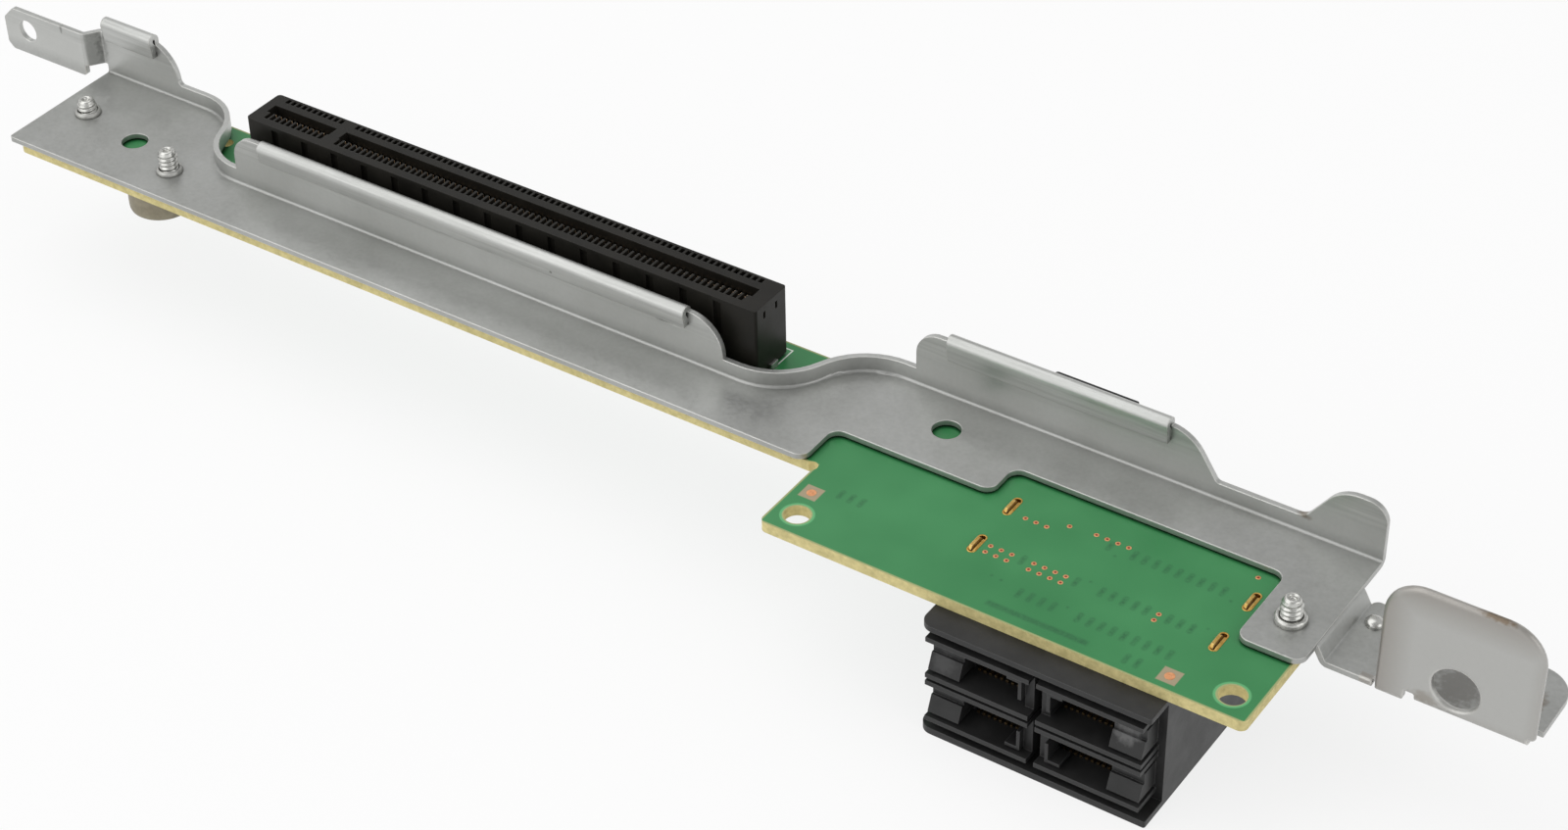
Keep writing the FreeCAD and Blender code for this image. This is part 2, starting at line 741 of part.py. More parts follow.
def make_bracket():
    body = doc.addObject("PartDesign::Body", "bracket")
    outline = sketch(body, "plate_outline", "XY_Plane", plate_outline(), "{plate_lift}")
    pad(body, "plate", outline, "{sheet_thick}")
    strip = sketch(body, "wall_plan", "XY_Plane", wall_strip(), "{plate_lift}")
    pad(body, "wall", strip, "{side_wall_height} - {plate_lift}")
    fillet(body, "outer_bend", "{sheet_thick} + {bend_inside}", on_wall_line(size.sheet_thick, size.plate_lift))
    fillet(body, "inner_bend", "{bend_inside}", on_wall_line(0, spot.plate_top))
    above = sketch(body, "wall_elevation", "XZ_Plane", above_the_walls())
    pocket(body, "wall_shape", above, both_ways=True)
    hem(body, "left_hem", spot.back_inner, size.side_hem_height, size.side_hem_lip)
    hem(body, "front_hem", spot.front_inner, size.front_hem_height, size.front_hem_lip)
    hem(body, "right_hem", spot.back_inner, size.side_hem_height, size.side_hem_lip)

    # Left tab: set forward of the wall by the joggle, so its front face is at Y = 0
    step = joggle_outline(spot.tab_end, spot.tab_end + size.tab_joggle_run, 0, spot.back_inner)
    step_plan = sketch(body, "tab_step_plan", "XY_Plane", step, "{joggle_bottom}")
    pad(body, "tab_step", step_plan, "{tab_top} - {joggle_bottom}")
    corner = size.tab_corner
    tab = sketch(body, "tab_outline", "XZ_Plane", rounded_loop([
        (-size.tab_reach, size.tab_bottom + size.tab_low_chamfer, corner),
        (-size.tab_reach + size.tab_low_chamfer, size.tab_bottom, corner),
        (spot.tab_end, size.tab_bottom, corner),
        (spot.tab_end, size.tab_top),
        (-size.tab_reach + size.tab_high_chamfer, size.tab_top, corner),
        (-size.tab_reach, size.tab_top - size.tab_high_chamfer, corner),
    ]))
    pad(body, "tab", tab, "{sheet_thick}", reversed_way=True)
    tab_hole = sketch(body, "tab_hole_outline", "XZ_Plane", circle(0, size.hole_height, size.tab_hole_radius))
    pocket(body, "tab_hole", tab_hole, "{sheet_thick}")

    # Right end: step down, lower plate and handle ear
    step_down = joggle_outline(spot.plate_right, spot.lower_left, size.plate_lift, spot.lower_bottom)
    joggle = sketch(body, "joggle_profile", "XZ_Plane", step_down, "{lower_front} - {joggle_front_gap}")
    pad(body, "joggle", joggle, "{joggle_width}", reversed_way=True)
    lower = sketch(body, "lower_plate_outline", "XY_Plane", lower_plate_outline(), "{lower_bottom}")
    pad(body, "lower_plate", lower, "{sheet_thick}")
    handle = sketch(body, "handle_outline", "XZ_Plane", handle_outline(), "{lower_front}")
    pad(body, "handle", handle, "{sheet_thick}", reversed_way=True)
    fillet(body, "handle_outer_bend", "{sheet_thick} + {bend_inside}", lambda edge: all_at(
        edge, lambda point: near(point.y, spot.handle_front) and near(point.z, spot.lower_bottom)
        and spot.handle_bend_left - tiny < point.x < spot.handle_bend_right + tiny))
    fillet(body, "handle_rim", "{handle_edge}", lambda edge: all_at(
        edge, lambda point: near(point.y, spot.handle_front)
        and point.z > spot.lower_bottom + outer_bend + size.handle_relief_room + tiny)
        and edge.BoundBox.ZMax > size.handle_top - size.handle_radius - tiny)
    handle_hole = sketch(body, "handle_hole_outline", "XZ_Plane",
                         circle(spot.handle_hole_x, size.handle_hole_height, size.handle_hole_radius),
                         "{lower_front}")
    pocket(body, "handle_hole", handle_hole, "{sheet_thick} + {bend_inside}")

    # Holes through the flat plate
    holes = circle(spot.left_sight_x, spot.left_sight_y, size.sight_hole_radius)
    holes += circle(spot.right_sight_x, spot.right_sight_y, size.sight_hole_radius)
    for x, y in screw_places:
        holes += circle(x, y, size.nut_shank_radius)
    plate_holes = sketch(body, "plate_hole_outlines", "XY_Plane", holes, "{plate_top}")
    pocket(body, "plate_holes", plate_holes, "{sheet_thick}")
    stud_hole = sketch(body, "stud_hole_outline", "XY_Plane",
                       circle(spot.stud_x, spot.stud_y, size.stud_shank_radius),
                       "{lower_bottom} + {sheet_thick}")
    pocket(body, "stud_hole", stud_hole, "{sheet_thick}")
    finish(body, "mounting_bracket")


lock_places = [(spot.port_centre + side * spot.lock_offset, y)
               for side in (-1, 1) for y in (spot.lock_front_y, spot.lock_back_y)]


def stadium(x, y, width, length):
    """Slot with round ends, long way along Y."""
    radius = width / 2 - tiny
    return rounded_loop([
        (x - width / 2, y - length / 2, radius),
        (x + width / 2, y - length / 2, radius),
        (x + width / 2, y + length / 2, radius),
        (x - width / 2, y + length / 2, radius),
    ])


def make_board():
    body = doc.addObject("PartDesign::Body", "board")
    corner = size.board_corner
    outline = rounded_loop([
        (spot.board_left, spot.board_front, corner),
        (spot.board_wide_start, spot.board_front),
        (spot.board_wide_start, spot.board_wide_front, corner),
        (spot.board_right, spot.board_wide_front, corner),
        (spot.board_right, spot.board_back, corner),
        (spot.board_left, spot.board_back, corner),
    ])
    profile = sketch(body, "board_outline", "XY_Plane", outline)
    pad(body, "board_slab", profile, "{board_thick}", reversed_way=True)
    tool_y = spot.board_wide_front + size.tool_hole_inset_y
    holes = circle(spot.board_wide_start + size.tool_hole_inset_x, tool_y, size.tool_hole_radius)
    holes += circle(spot.board_right - size.tool_hole_inset_x, tool_y, size.tool_hole_radius)
    holes += circle(spot.board_left + size.small_hole_inset_x, spot.board_back - size.small_hole_inset_y,
                    size.small_hole_radius)
    inset = size.board_relief_inset
    holes += circle(spot.board_wide_start - inset, spot.board_front - inset, size.board_relief_radius)
    for x, y in screw_places:
        holes += circle(x, y, size.thread_radius + size.board_screw_clearance)
    for x, y in lock_places:
        holes += stadium(x, y, size.plated_width, size.plated_length)
    hole_outlines = sketch(body, "board_hole_outlines", "XY_Plane", holes)
    pocket(body, "board_holes", hole_outlines, "{board_thick}")
    finish(body, "circuit_board")


def contact_places():
    """X of every contact in a row: the short side, then the long side past the key."""
    first = spot.slot_left + size.contact_first
    short = [first + step * size.contact_pitch for step in range(int(size.short_side_count))]
    start = short[-1] + size.contact_key_gap
    return short + [start + step * size.contact_pitch for step in range(int(size.long_side_count))]


def window_row(low, high):
    """One rectangle a contact, between two places across the slot."""
    half = size.window_width / 2
    row = []
    for x in contact_places():
        row += rectangle(x - half, low, x + half, high)
    return row


def make_slot():
    body = doc.addObject("PartDesign::Body", "slot")
    left, right = spot.slot_left, spot.slot_right
    front, back = spot.slot_front, spot.slot_back
    block = sketch(body, "slot_outline", "XY_Plane", rounded_loop([
        (left, front, size.slot_left_corner),
        (right, front, size.slot_right_corner),
        (right, back, size.slot_right_corner),
        (left, back, size.slot_left_corner),
    ]), "{slot_foot_height}")
    pad(body, "slot_block", block, "{slot_height} - {slot_foot_height}")

    # Feet that lift the housing off the board
    inset = size.slot_foot_inset
    length = size.slot_foot_length
    feet = []
    for x in (left + inset, (left + right - length) / 2, right - inset - length):
        feet += rectangle(x, front + inset, x + length, back - inset)
    feet_sketch = sketch(body, "slot_feet_outline", "XY_Plane", feet)
    pad(body, "slot_feet", feet_sketch, "{slot_foot_height}")

    # Channel for the card's edge, in two lengths with the key between them
    places = contact_places()
    short_count = int(size.short_side_count)
    margin = size.channel_margin
    key_middle = (places[short_count - 1] + places[short_count]) / 2
    key_half = size.card_key_width / 2
    channels = rectangle(places[0] - margin, spot.channel_front, key_middle - key_half, spot.channel_back)
    channels += rectangle(key_middle + key_half, spot.channel_front, places[-1] + margin, spot.channel_back)
    channel_sketch = sketch(body, "channel_outline", "XY_Plane", channels, "{slot_height}")
    pocket(body, "card_channel", channel_sketch, "{channel_depth}")

    # Front contacts stand in windows that are open to the channel all the way up
    front_windows = window_row(front + size.front_window_setback, spot.channel_front + tiny)
    front_sketch = sketch(body, "front_window_outlines", "XY_Plane", front_windows, "{slot_height}")
    pocket(body, "front_windows", front_sketch, "{slot_height} - {cavity_floor}")

    # Rear contacts stand in chambers under a lid, with a window behind the lid
    window_front = spot.channel_back + size.rear_window_gap
    window_back = window_front + size.rear_window_depth
    rear_sketch = sketch(body, "rear_window_outlines", "XY_Plane", window_row(window_front, window_back),
                         "{slot_height}")
    pocket(body, "rear_windows", rear_sketch, "{window_lid}")
    chamber_sketch = sketch(body, "rear_chamber_outlines", "XY_Plane",
                            window_row(spot.channel_back - tiny, window_back), "{slot_height} - {window_lid}")
    pocket(body, "rear_chambers", chamber_sketch, "{slot_height} - {window_lid} - {cavity_floor}")

    # Shallow pockets down the front face, and two small marks on the right end
    side_pockets = []
    half = size.side_pocket_width / 2
    for step in range(int(size.side_pocket_count)):
        x = left + size.side_pocket_first + step * size.side_pocket_pitch
        side_pockets += rectangle(x - half, size.side_pocket_bottom, x + half,
                                  size.slot_height - size.side_pocket_margin)
    pocket_sketch = sketch(body, "side_pocket_outlines", "XZ_Plane", side_pockets, "-{slot_front}")
    pocket(body, "side_pockets", pocket_sketch, "{side_pocket_depth}")
    marks = []
    for step in range(2):
        y = front + size.end_mark_first + step * size.end_mark_pitch
        marks += rectangle(y - size.end_mark_width / 2, size.end_mark_height,
                           y + size.end_mark_width / 2, size.end_mark_height + size.end_mark_length)
    mark_sketch = sketch(body, "end_mark_outlines", "YZ_Plane", marks, "{slot_right}")
    pocket(body, "end_marks", mark_sketch, "{end_mark_depth}")
    finish(body, "slot_housing")


def contact_row(label, root, tip, tip_height):
    """Row of contacts: straight strips that lean from the cavity's floor into the channel.

    Root and tip are places across the slot, of the middle of the strip's thickness.
    """
    half = size.contact_thick / 2
    outline = [(root - half, size.cavity_floor), (root + half, size.cavity_floor),
               (tip + half, tip_height), (tip - half, tip_height)]
    solids = []
    for x in contact_places():
        corners = [Vector(x - size.contact_width / 2, y, z) for y, z in outline]
        face = Part.Face(Part.makePolygon(corners + corners[:1]))
        solids.append(face.extrude(Vector(size.contact_width, 0, 0)))
    made = doc.addObject("Part::Feature", label)
    made.Shape = Part.makeCompound(solids)
    finish(made, label)


def make_slot_contacts():
    wall_gap = size.contact_wall_gap + size.contact_thick / 2
    front_root = spot.slot_front + size.front_window_setback + wall_gap
    rear_root = spot.channel_back + size.rear_window_gap + size.rear_window_depth - wall_gap
    tip_gap = size.contact_tip_gap + size.contact_thick / 2
    contact_row("slot_contacts_front", front_root, spot.channel_middle - tip_gap, size.front_tip_height)
    contact_row("slot_contacts_rear", rear_root, spot.channel_middle + tip_gap, size.rear_tip_height)


def primitive_box(name, corner, extent):
    """Part box whose corner and extents are expressions on the sheets."""
    made = doc.addObject("Part::Box", name)
    for prop, expression in zip(("Length", "Width", "Height"), extent):
        bind(made, prop, expression)
    for prop, expression in zip("xyz", corner):
        bind(made, "Placement.Base." + prop, expression)
    return made


def group(label, members):
    """One piece made of several separate solids."""
    made = doc.addObject("Part::Compound", label)
    made.Links = members
    finish(made, label)


def make_slot_tabs():
    """Solder tabs that hold the slot's ends down on the board."""
    low_y = "({slot_front} + {slot_back}) / 2 - {solder_tab_width} / 2"
    extent = ("{solder_tab_thick}", "{solder_tab_width}", "{solder_tab_height}")
    left = primitive_box("left_solder_tab", ("{slot_left} - {solder_tab_thick}", low_y, "0"), extent)
    right = primitive_box("right_solder_tab", ("{slot_right}", low_y, "0"), extent)
    group("slot_solder_tabs", [left, right])


def port_rows():
    """Top and bottom of the upper and of the lower row of ports, shelves included."""
    upper = spot.port_top - size.port_lid - size.shelf_clearance
    lower = upper - size.row_height - size.row_gap
    return [(upper, upper - size.row_height), (lower, lower - size.row_height)]


def port_columns():
    """For each column: outer end, inner end and the way from outer to inner."""
    half_gap = size.shelf_gap / 2
    return [
        (spot.port_left + size.shelf_margin, spot.port_centre - half_gap, 1),
        (spot.port_right - size.shelf_margin, spot.port_centre + half_gap, -1),
    ]


def port_openings():
    """Left, bottom, right and top of each port's opening, and its way and row."""
    openings = []
    for row, (top, bottom) in enumerate(port_rows()):
        for outer, inner, way in port_columns():
            key_end = outer + way * (size.key_inset + size.key_width)
            left, right = sorted((key_end, inner - way * size.partition_width))
            openings.append((left, bottom + size.shelf_thick, right, top - size.shelf_thick, way, row))
    return openings


def make_port_housing():
    body = doc.addObject("PartDesign::Body", "port")
    block = sketch(body, "port_block_outline", "XY_Plane",
                   rectangle(spot.port_left, spot.port_block_front, spot.port_right, spot.port_back),
                   "-{board_thick}")
    pad(body, "port_block", block, "{port_height}", reversed_way=True)
    root = spot.port_block_front + size.shelf_thick
    nose = rounded_loop([
        (spot.port_left, spot.port_front, size.port_corner),
        (spot.port_right, spot.port_front, size.port_small_corner),
        (spot.port_right, root),
        (spot.port_left, root),
    ])
    lid = sketch(body, "port_lid_outline", "XY_Plane", nose, "-{board_thick}")
    pad(body, "port_lid", lid, "{port_lid}", reversed_way=True)
    floor = sketch(body, "port_floor_outline", "XY_Plane", nose, "{port_bottom}")
    pad(body, "port_floor", floor, "{port_floor}")

    # Mouths of the four ports in the block's front face
    openings = port_openings()
    mouths = []
    for left, bottom, right, top, _, _ in openings:
        mouths += rectangle(left, bottom, right, top)
    mouth_sketch = sketch(body, "mouth_outlines", "XZ_Plane", mouths, "-{port_block_front}")
    pocket(body, "mouths", mouth_sketch, "{port_pocket_depth} - {port_overhang}")

    # Each port has a shelf over it and one under it, and a partition set back beside the middle gap
    shelves = []
    partitions = []
    for top, bottom in port_rows():
        for outer, inner, way in port_columns():
            left, right = sorted((outer, inner))
            shelves += rectangle(left, top - size.shelf_thick, right, top)
            shelves += rectangle(left, bottom, right, bottom + size.shelf_thick)
            left, right = sorted((inner, inner - way * size.partition_width))
            partitions += rectangle(left, bottom + tiny, right, top - tiny)
    shelf_sketch = sketch(body, "shelf_outlines", "XZ_Plane", shelves, "-{port_front}")
    pad(body, "shelves", shelf_sketch, "{port_overhang} + {shelf_thick}", reversed_way=True)
    partition_sketch = sketch(body, "partition_outlines", "XZ_Plane", partitions,
                              "-{port_front} - {partition_setback}")
    pad(body, "partitions", partition_sketch, "{port_overhang} - {partition_setback} + {shelf_thick}",
        reversed_way=True)

    # Key block at each port's outer end: stepped back at the top, with a sloping lower face
    for number, (left, bottom, right, top, way, _) in enumerate(openings, start=1):
        high = top - size.key_top_gap
        low = bottom + size.key_bottom_gap
        step = low + size.key_step_height
        face = spot.port_front + size.key_front_setback
        profile = rounded_loop([
            (root, low),
            (face, low),
            (face + size.key_slope_setback, step),
            (face + size.key_step_setback, step),
            (face + size.key_step_setback, high),
            (root, high),
        ])
        start = left - size.key_width if way > 0 else right
        key_sketch = sketch(body, f"key_profile_{number}", "YZ_Plane", profile)
        key_sketch.AttachmentOffset.Base = Vector(0, 0, start)
        pad(body, f"key_block_{number}", key_sketch, "{key_width}")

    # L-shaped guide rib in each port's inner corner
    ribs = []
    for left, bottom, right, top, way, row in openings:
        wall = right if way > 0 else left
        down = -1 if row == 0 else 1
        shelf = (top if row == 0 else bottom) + down * size.rib_shelf_gap
        thick = size.rib_thick
        ribs += rounded_loop([
            (wall, shelf),
            (wall - way * size.rib_width, shelf),
            (wall - way * size.rib_width, shelf + down * thick),
            (wall - way * thick, shelf + down * thick),
            (wall - way * thick, shelf + down * size.rib_height),
            (wall, shelf + down * size.rib_height),
        ])
    rib_sketch = sketch(body, "rib_outlines", "XZ_Plane", ribs, "-{port_front} - {rib_setback}")
    pad(body, "ribs", rib_sketch, "{rib_length}", reversed_way=True)

    # Ears on the block's sides that the board-lock legs lie against
    ears = []
    for x, y in lock_places:
        side = 1 if x > spot.port_centre else -1
        inside = spot.port_centre + side * (spot.port_width / 2 - size.lock_root)
        outside = x - side * size.lock_thick / 2
        left, right = sorted((inside, outside))
        ears += rectangle(left, y - size.lock_width / 2, right, y + size.lock_width / 2)
    ear_sketch = sketch(body, "lock_ear_outlines", "XY_Plane", ears, "-{board_thick} - 2 * {plating_proud}")
    pad(body, "lock_ears", ear_sketch, "{lock_height}", reversed_way=True)
    finish(body, "port_housing")


def port_contact_rows(label, row_wanted):
    """Contact fingers on the floor and the roof of the ports of one row."""
    solids = []
    back = spot.port_front + size.port_pocket_depth
    front = back - size.port_contact_length
    count = int(size.port_contact_count)
    for left, bottom, right, top, _, row in port_openings():
        if row != row_wanted:
            continue
        first = (left + right) / 2 - (count - 1) * size.port_contact_pitch / 2
        for step in range(count):
            x = first + step * size.port_contact_pitch - size.port_contact_width / 2
            for z in (bottom, top - size.port_contact_height):
                solids.append(Part.makeBox(size.port_contact_width, back - front, size.port_contact_height,
                                           Vector(x, front, z)))
    made = doc.addObject("Part::Feature", label)
    made.Shape = Part.makeCompound(solids)
    finish(made, label)


def make_port_locks():
    members = []
    for side_name, sign in (("left", "-"), ("right", "+")):
        for depth_name in ("front", "back"):
            corner = ("{port_centre} " + sign + " {lock_offset} - {lock_thick} / 2",
                      "{lock_" + depth_name + "_y} - {lock_width} / 2",
                      "-{board_thick} - {lock_height}")
            extent = ("{lock_thick}", "{lock_width}", "{lock_height} + {board_thick} - {lock_drop}")
            members.append(primitive_box(f"{side_name}_{depth_name}_leg", corner, extent))
    group("port_board_locks", members)


def make_platings():
    """Metal linings of the four board slots, standing a little proud on both faces."""
    wall = size.plating_wall
    tubes = []
    for x, y in lock_places:
        outlines = [stadium(x, y, size.plated_width, size.plated_length),
                    stadium(x, y, size.plated_width - 2 * wall, size.plated_length - 2 * wall)]
        outer, inner = [Part.Face(Part.Wire(Part.__sortEdges__([piece.toShape() for piece in outline])))
                        for outline in outlines]
        tube = outer.cut(inner).extrude(Vector(0, 0, size.board_thick + 2 * size.plating_proud))
        tube.translate(Vector(0, 0, -size.board_thick - size.plating_proud))
        tubes.append(tube)
    made = doc.addObject("Part::Feature", "slot_platings")
    made.Shape = Part.makeCompound(tubes)
    finish(made, "slot_platings")


def turned(name, outline):
    """Solid of revolution about its own Z axis; the outline is (radius, height) corners."""
    corners = [Vector(radius, 0, height) for radius, height in outline]
    face = Part.Face(Part.makePolygon(corners + corners[:1]))
    made = doc.addObject("Part::Feature", name)
    made.Shape = face.revolve(Vector(0, 0, 0), Vector(0, 0, 1), 360)
    return made


def place(target, x, y, z="0"):
    for prop, expression in zip("xyz", (x, y, z)):
        bind(target, "Placement.Base." + prop, expression)
    return target


def screw(name, tip):
    """Pan-head screw, head below the board and thread up through the plate to the tip's height."""
    radius = size.thread_radius
    under = -size.board_thick
    low = under - size.screw_head_height
    chamfer = size.screw_head_chamfer
    solid = turned(name + "_solid", [
        (0, low + size.driver_depth),
        (size.driver_radius, low + size.driver_depth),
        (size.driver_radius, low),
        (size.screw_head_radius - chamfer, low),
        (size.screw_head_radius, low + chamfer),
        (size.screw_head_radius, under),
        (radius, under),
        (radius, tip - size.thread_chamfer),
        (radius - size.thread_chamfer, tip),
        (0, tip),
    ])
    return place(solid, "{" + name + "_x}", "{" + name + "_y}")


def make_screws():
    group("short_screw", [screw("short_screw", size.short_screw_tip)])
    group("long_screws", [screw("left_screw", size.long_screw_tip), screw("right_screw", size.long_screw_tip)])


def make_nuts():
    """Clinch nuts: a shank from the board up through the plate's hole and a collar on the plate."""
    bore = size.thread_radius + size.thread_clearance
    top = spot.plate_top + size.nut_height
    members = []
    for name in ("short_screw", "left_screw", "right_screw"):
        nut = turned(name + "_nut", [
            (bore, 0),
            (size.nut_shank_radius, 0),
            (size.nut_shank_radius, spot.plate_top),
            (size.nut_radius, spot.plate_top),
            (size.nut_radius, top - size.nut_chamfer),
            (size.nut_radius - size.nut_chamfer, top),
            (bore, top),
        ])
        members.append(place(nut, "{" + name + "_x}", "{" + name + "_y}"))
    group("clinch_nuts", members)


def make_foot():
    top = -size.board_thick
    flange = top - size.foot_flange_height
    bottom = top - size.foot_height
    waist = size.foot_radius - size.foot_waist
    foot = turned("foot_solid", [
        (0, top),
        (size.foot_flange_radius, top),
        (size.foot_flange_radius, flange + size.foot_chamfer),
        (size.foot_flange_radius - size.foot_chamfer, flange),
        (waist, flange),
        (waist, bottom + size.foot_ring_height),
        (size.foot_radius, bottom + size.foot_ring_height - size.foot_waist),
        (size.foot_radius, bottom + size.foot_chamfer),
        (size.foot_radius - size.foot_chamfer, bottom),
        (0, bottom),
    ])
    group("support_foot", [place(foot, "{foot_x}", "{foot_y}")])


def make_stud():
    stud = turned("stud_solid", [
        (0, -size.sheet_thick),
        (size.stud_shank_radius, -size.sheet_thick),
        (size.stud_shank_radius, 0),
        (size.stud_radius, 0),
        (size.stud_radius, size.stud_rim_height),
        (size.stud_crown_radius, size.stud_height),
        (0, size.stud_height),
    ])
    group("locating_stud", [place(stud, "{stud_x}", "{stud_y}", "{lower_bottom} + {sheet_thick}")])


def make_pad():
    """Block on the back of the right wall."""
    pad_box = primitive_box("pad_solid", ("{pad_left}", "{back_outer}", "{pad_bottom}"),
                            ("{pad_length}", "{pad_thick}", "{pad_height}"))
    rounded = doc.addObject("Part::Fillet", "pad_rounded")
    rounded.Base = pad_box
    doc.recompute()
    upright = [number for number, edge in enumerate(pad_box.Shape.Edges, start=1)
               if near(abs(edge.tangentAt(edge.FirstParameter).z), 1)]
    rounded.Edges = [(number, size.pad_corner, size.pad_corner) for number in upright]
    group("rear_pad", [rounded])


make_bracket()
make_board()
make_slot()
make_slot_contacts()
make_slot_tabs()
make_port_housing()
port_contact_rows("port_contacts_upper", 0)
port_contact_rows("port_contacts_lower", 1)
make_port_locks()
make_platings()
make_screws()
make_nuts()
make_foot()
make_stud()
make_pad()

doc.recompute()
for item in doc.Objects:
    if "Invalid" in item.State or "Error" in item.State:
        raise RuntimeError(f"{item.Name} did not build: {item.State}")
for piece in pieces:
    if piece.Shape.isNull() or not piece.Shape.isValid():
        raise RuntimeError(f"{piece.Label} has no valid shape")

os.makedirs("parts", exist_ok=True)
for piece in pieces:
    piece.Shape.exportStep(f"parts/{piece.Label}.step")
    print(f"{piece.Label}: {len(piece.Shape.Solids)} solids, {piece.Shape.Volume:.1f} mm3")
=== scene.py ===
# %% [markdown]
# # Dressing a riser card
#
# A riser card is a small circuit board that lifts an expansion card off a server's main board. This one has a
# long card slot on top, four cable ports below, and a folded sheet-steel bracket that carries it all.
# The frame already holds every piece at its real size, so this script never moves a part. It adds the finishes,
# the fine parts that are too small for the frame, such as screw threads and the rings of the vias, and a studio.

# %% Load the frame
import math

import bmesh
import bpy
from mathutils import Matrix, Vector


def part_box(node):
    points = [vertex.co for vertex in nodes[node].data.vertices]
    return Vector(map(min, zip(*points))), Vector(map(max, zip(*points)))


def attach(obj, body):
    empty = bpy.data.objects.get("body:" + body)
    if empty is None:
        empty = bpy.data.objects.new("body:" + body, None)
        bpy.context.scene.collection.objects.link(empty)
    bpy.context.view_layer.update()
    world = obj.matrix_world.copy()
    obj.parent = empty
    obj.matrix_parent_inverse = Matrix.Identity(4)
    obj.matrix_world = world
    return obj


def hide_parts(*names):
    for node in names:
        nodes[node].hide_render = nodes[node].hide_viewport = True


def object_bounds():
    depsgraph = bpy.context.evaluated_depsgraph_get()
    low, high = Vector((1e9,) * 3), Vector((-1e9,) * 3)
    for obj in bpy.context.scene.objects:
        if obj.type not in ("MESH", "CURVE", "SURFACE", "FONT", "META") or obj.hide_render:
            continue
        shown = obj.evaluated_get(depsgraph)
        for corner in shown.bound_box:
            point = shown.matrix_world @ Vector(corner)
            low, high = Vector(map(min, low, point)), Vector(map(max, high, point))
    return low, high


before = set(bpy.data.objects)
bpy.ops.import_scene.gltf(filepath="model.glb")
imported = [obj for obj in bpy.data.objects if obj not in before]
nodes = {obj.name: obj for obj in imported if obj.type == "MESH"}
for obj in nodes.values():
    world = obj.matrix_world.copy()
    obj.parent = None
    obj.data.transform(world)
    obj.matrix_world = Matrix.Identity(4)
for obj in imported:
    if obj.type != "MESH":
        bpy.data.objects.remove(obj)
cad_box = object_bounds()
scene = bpy.context.scene
MM = 0.001
print("The frame holds", len(nodes), "nodes, and it is", round((cad_box[1] - cad_box[0]).x / MM, 1), "mm long.")

# %% [markdown]
# ## One datum for every small thing
#
# Small things on the board are easiest to place from one corner that can be seen. Here that corner is the left
# end of the card slot: X counts along the slot, Y counts from a line 20 mm in front of the slot's front face,
# and Z counts up from the top of the board, all in millimetres.

# %% Places on the board
slot_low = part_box("slot_housing")[0]
board_low, board_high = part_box("circuit_board")
DATUM = Vector((slot_low.x, slot_low.y - 20 * MM, board_high.z))


def on_board(x, y, z=0.0):
    """A place in the frame, in metres, from millimetres along, across and above the board."""
    return DATUM + Vector((x, y, z)) * MM


print("The board's top lies", round(board_high.z / MM, 2), "mm above the frame's origin.")

# %% [markdown]
# ## Camera
#
# The camera stands where the photographer's did: to the right of the part, well above it, and rolled by about a
# degree. It could be aimed with a Track To constraint, but a constraint can't hold the small roll, so the view
# direction is written as two angles and turned into a matrix.

# %% Set up the camera
CAMERA_AZIMUTH = math.radians(34.71)
CAMERA_ELEVATION = math.radians(37.8)
CAMERA_ROLL = math.radians(-1.25)
CAMERA_PLACE = Vector((0.34472, -0.29546, 0.26263))


def put(name, data):
    """A new object in the scene."""
    made = bpy.data.objects.new(name, data)
    scene.collection.objects.link(made)
    return made


level = math.cos(CAMERA_ELEVATION)
forward = Vector((-math.sin(CAMERA_AZIMUTH) * level, math.cos(CAMERA_AZIMUTH) * level, -math.sin(CAMERA_ELEVATION)))
turn = forward.to_track_quat("-Z", "Y").to_matrix().to_4x4() @ Matrix.Rotation(CAMERA_ROLL, 4, "Z")
camera = put("camera", bpy.data.cameras.new("camera"))
camera.data.lens = 75.73
camera.data.sensor_width = 36
camera.data.clip_start = 0.01
camera.matrix_world = Matrix.Translation(CAMERA_PLACE) @ turn
scene.camera = camera
scene.view_settings.view_transform = "Standard"
print("The camera looks along", tuple(round(part, 3) for part in forward))

# %% [markdown]
# ## Small helpers for node trees
#
# A node tree is easier to read when each line names one node and what goes into it. A value that goes in may be a
# plain number, a colour or the output of another node, and one helper tells them apart.


# %% Helpers for node trees
def feed(tree, socket, value):
    """Sets a socket to a plain value, or links another node's output to it."""
    if isinstance(value, bpy.types.NodeSocket):
        tree.links.new(value, socket)
    else:
        socket.default_value = value


def fill(tree, sockets, values):
    """Feeds several sockets, by name or by number."""
    for name, value in values.items():
        feed(tree, sockets[name], value)


def add(tree, kind, inputs, **settings):
    """Adds a node, sets its options, and feeds its inputs."""
    made = tree.nodes.new(kind)
    for name, value in settings.items():
        setattr(made, name, value)
    fill(tree, made.inputs, inputs)
    return made


def calc(tree, operation, *values):
    """One Math node; returns its output."""
    return add(tree, "ShaderNodeMath", dict(enumerate(values)), operation=operation).outputs[0]


def vector(tree, operation, *values):
    """One Vector Math node; returns its outputs."""
    return add(tree, "ShaderNodeVectorMath", dict(enumerate(values)), operation=operation).outputs


def split(tree, value):
    """The X, Y and Z of a vector."""
    return add(tree, "ShaderNodeSeparateXYZ", {0: value}).outputs


def coordinate(tree, kind="Object"):
    """The place of each point, or another of its coordinates."""
    return tree.nodes.new("ShaderNodeTexCoord").outputs[kind]


def blend(tree, amount, first, second):
    """Mixes two colours by an amount between 0 and 1."""
    return add(tree, "ShaderNodeMix", {0: amount, 6: first, 7: second}, data_type="RGBA").outputs[2]


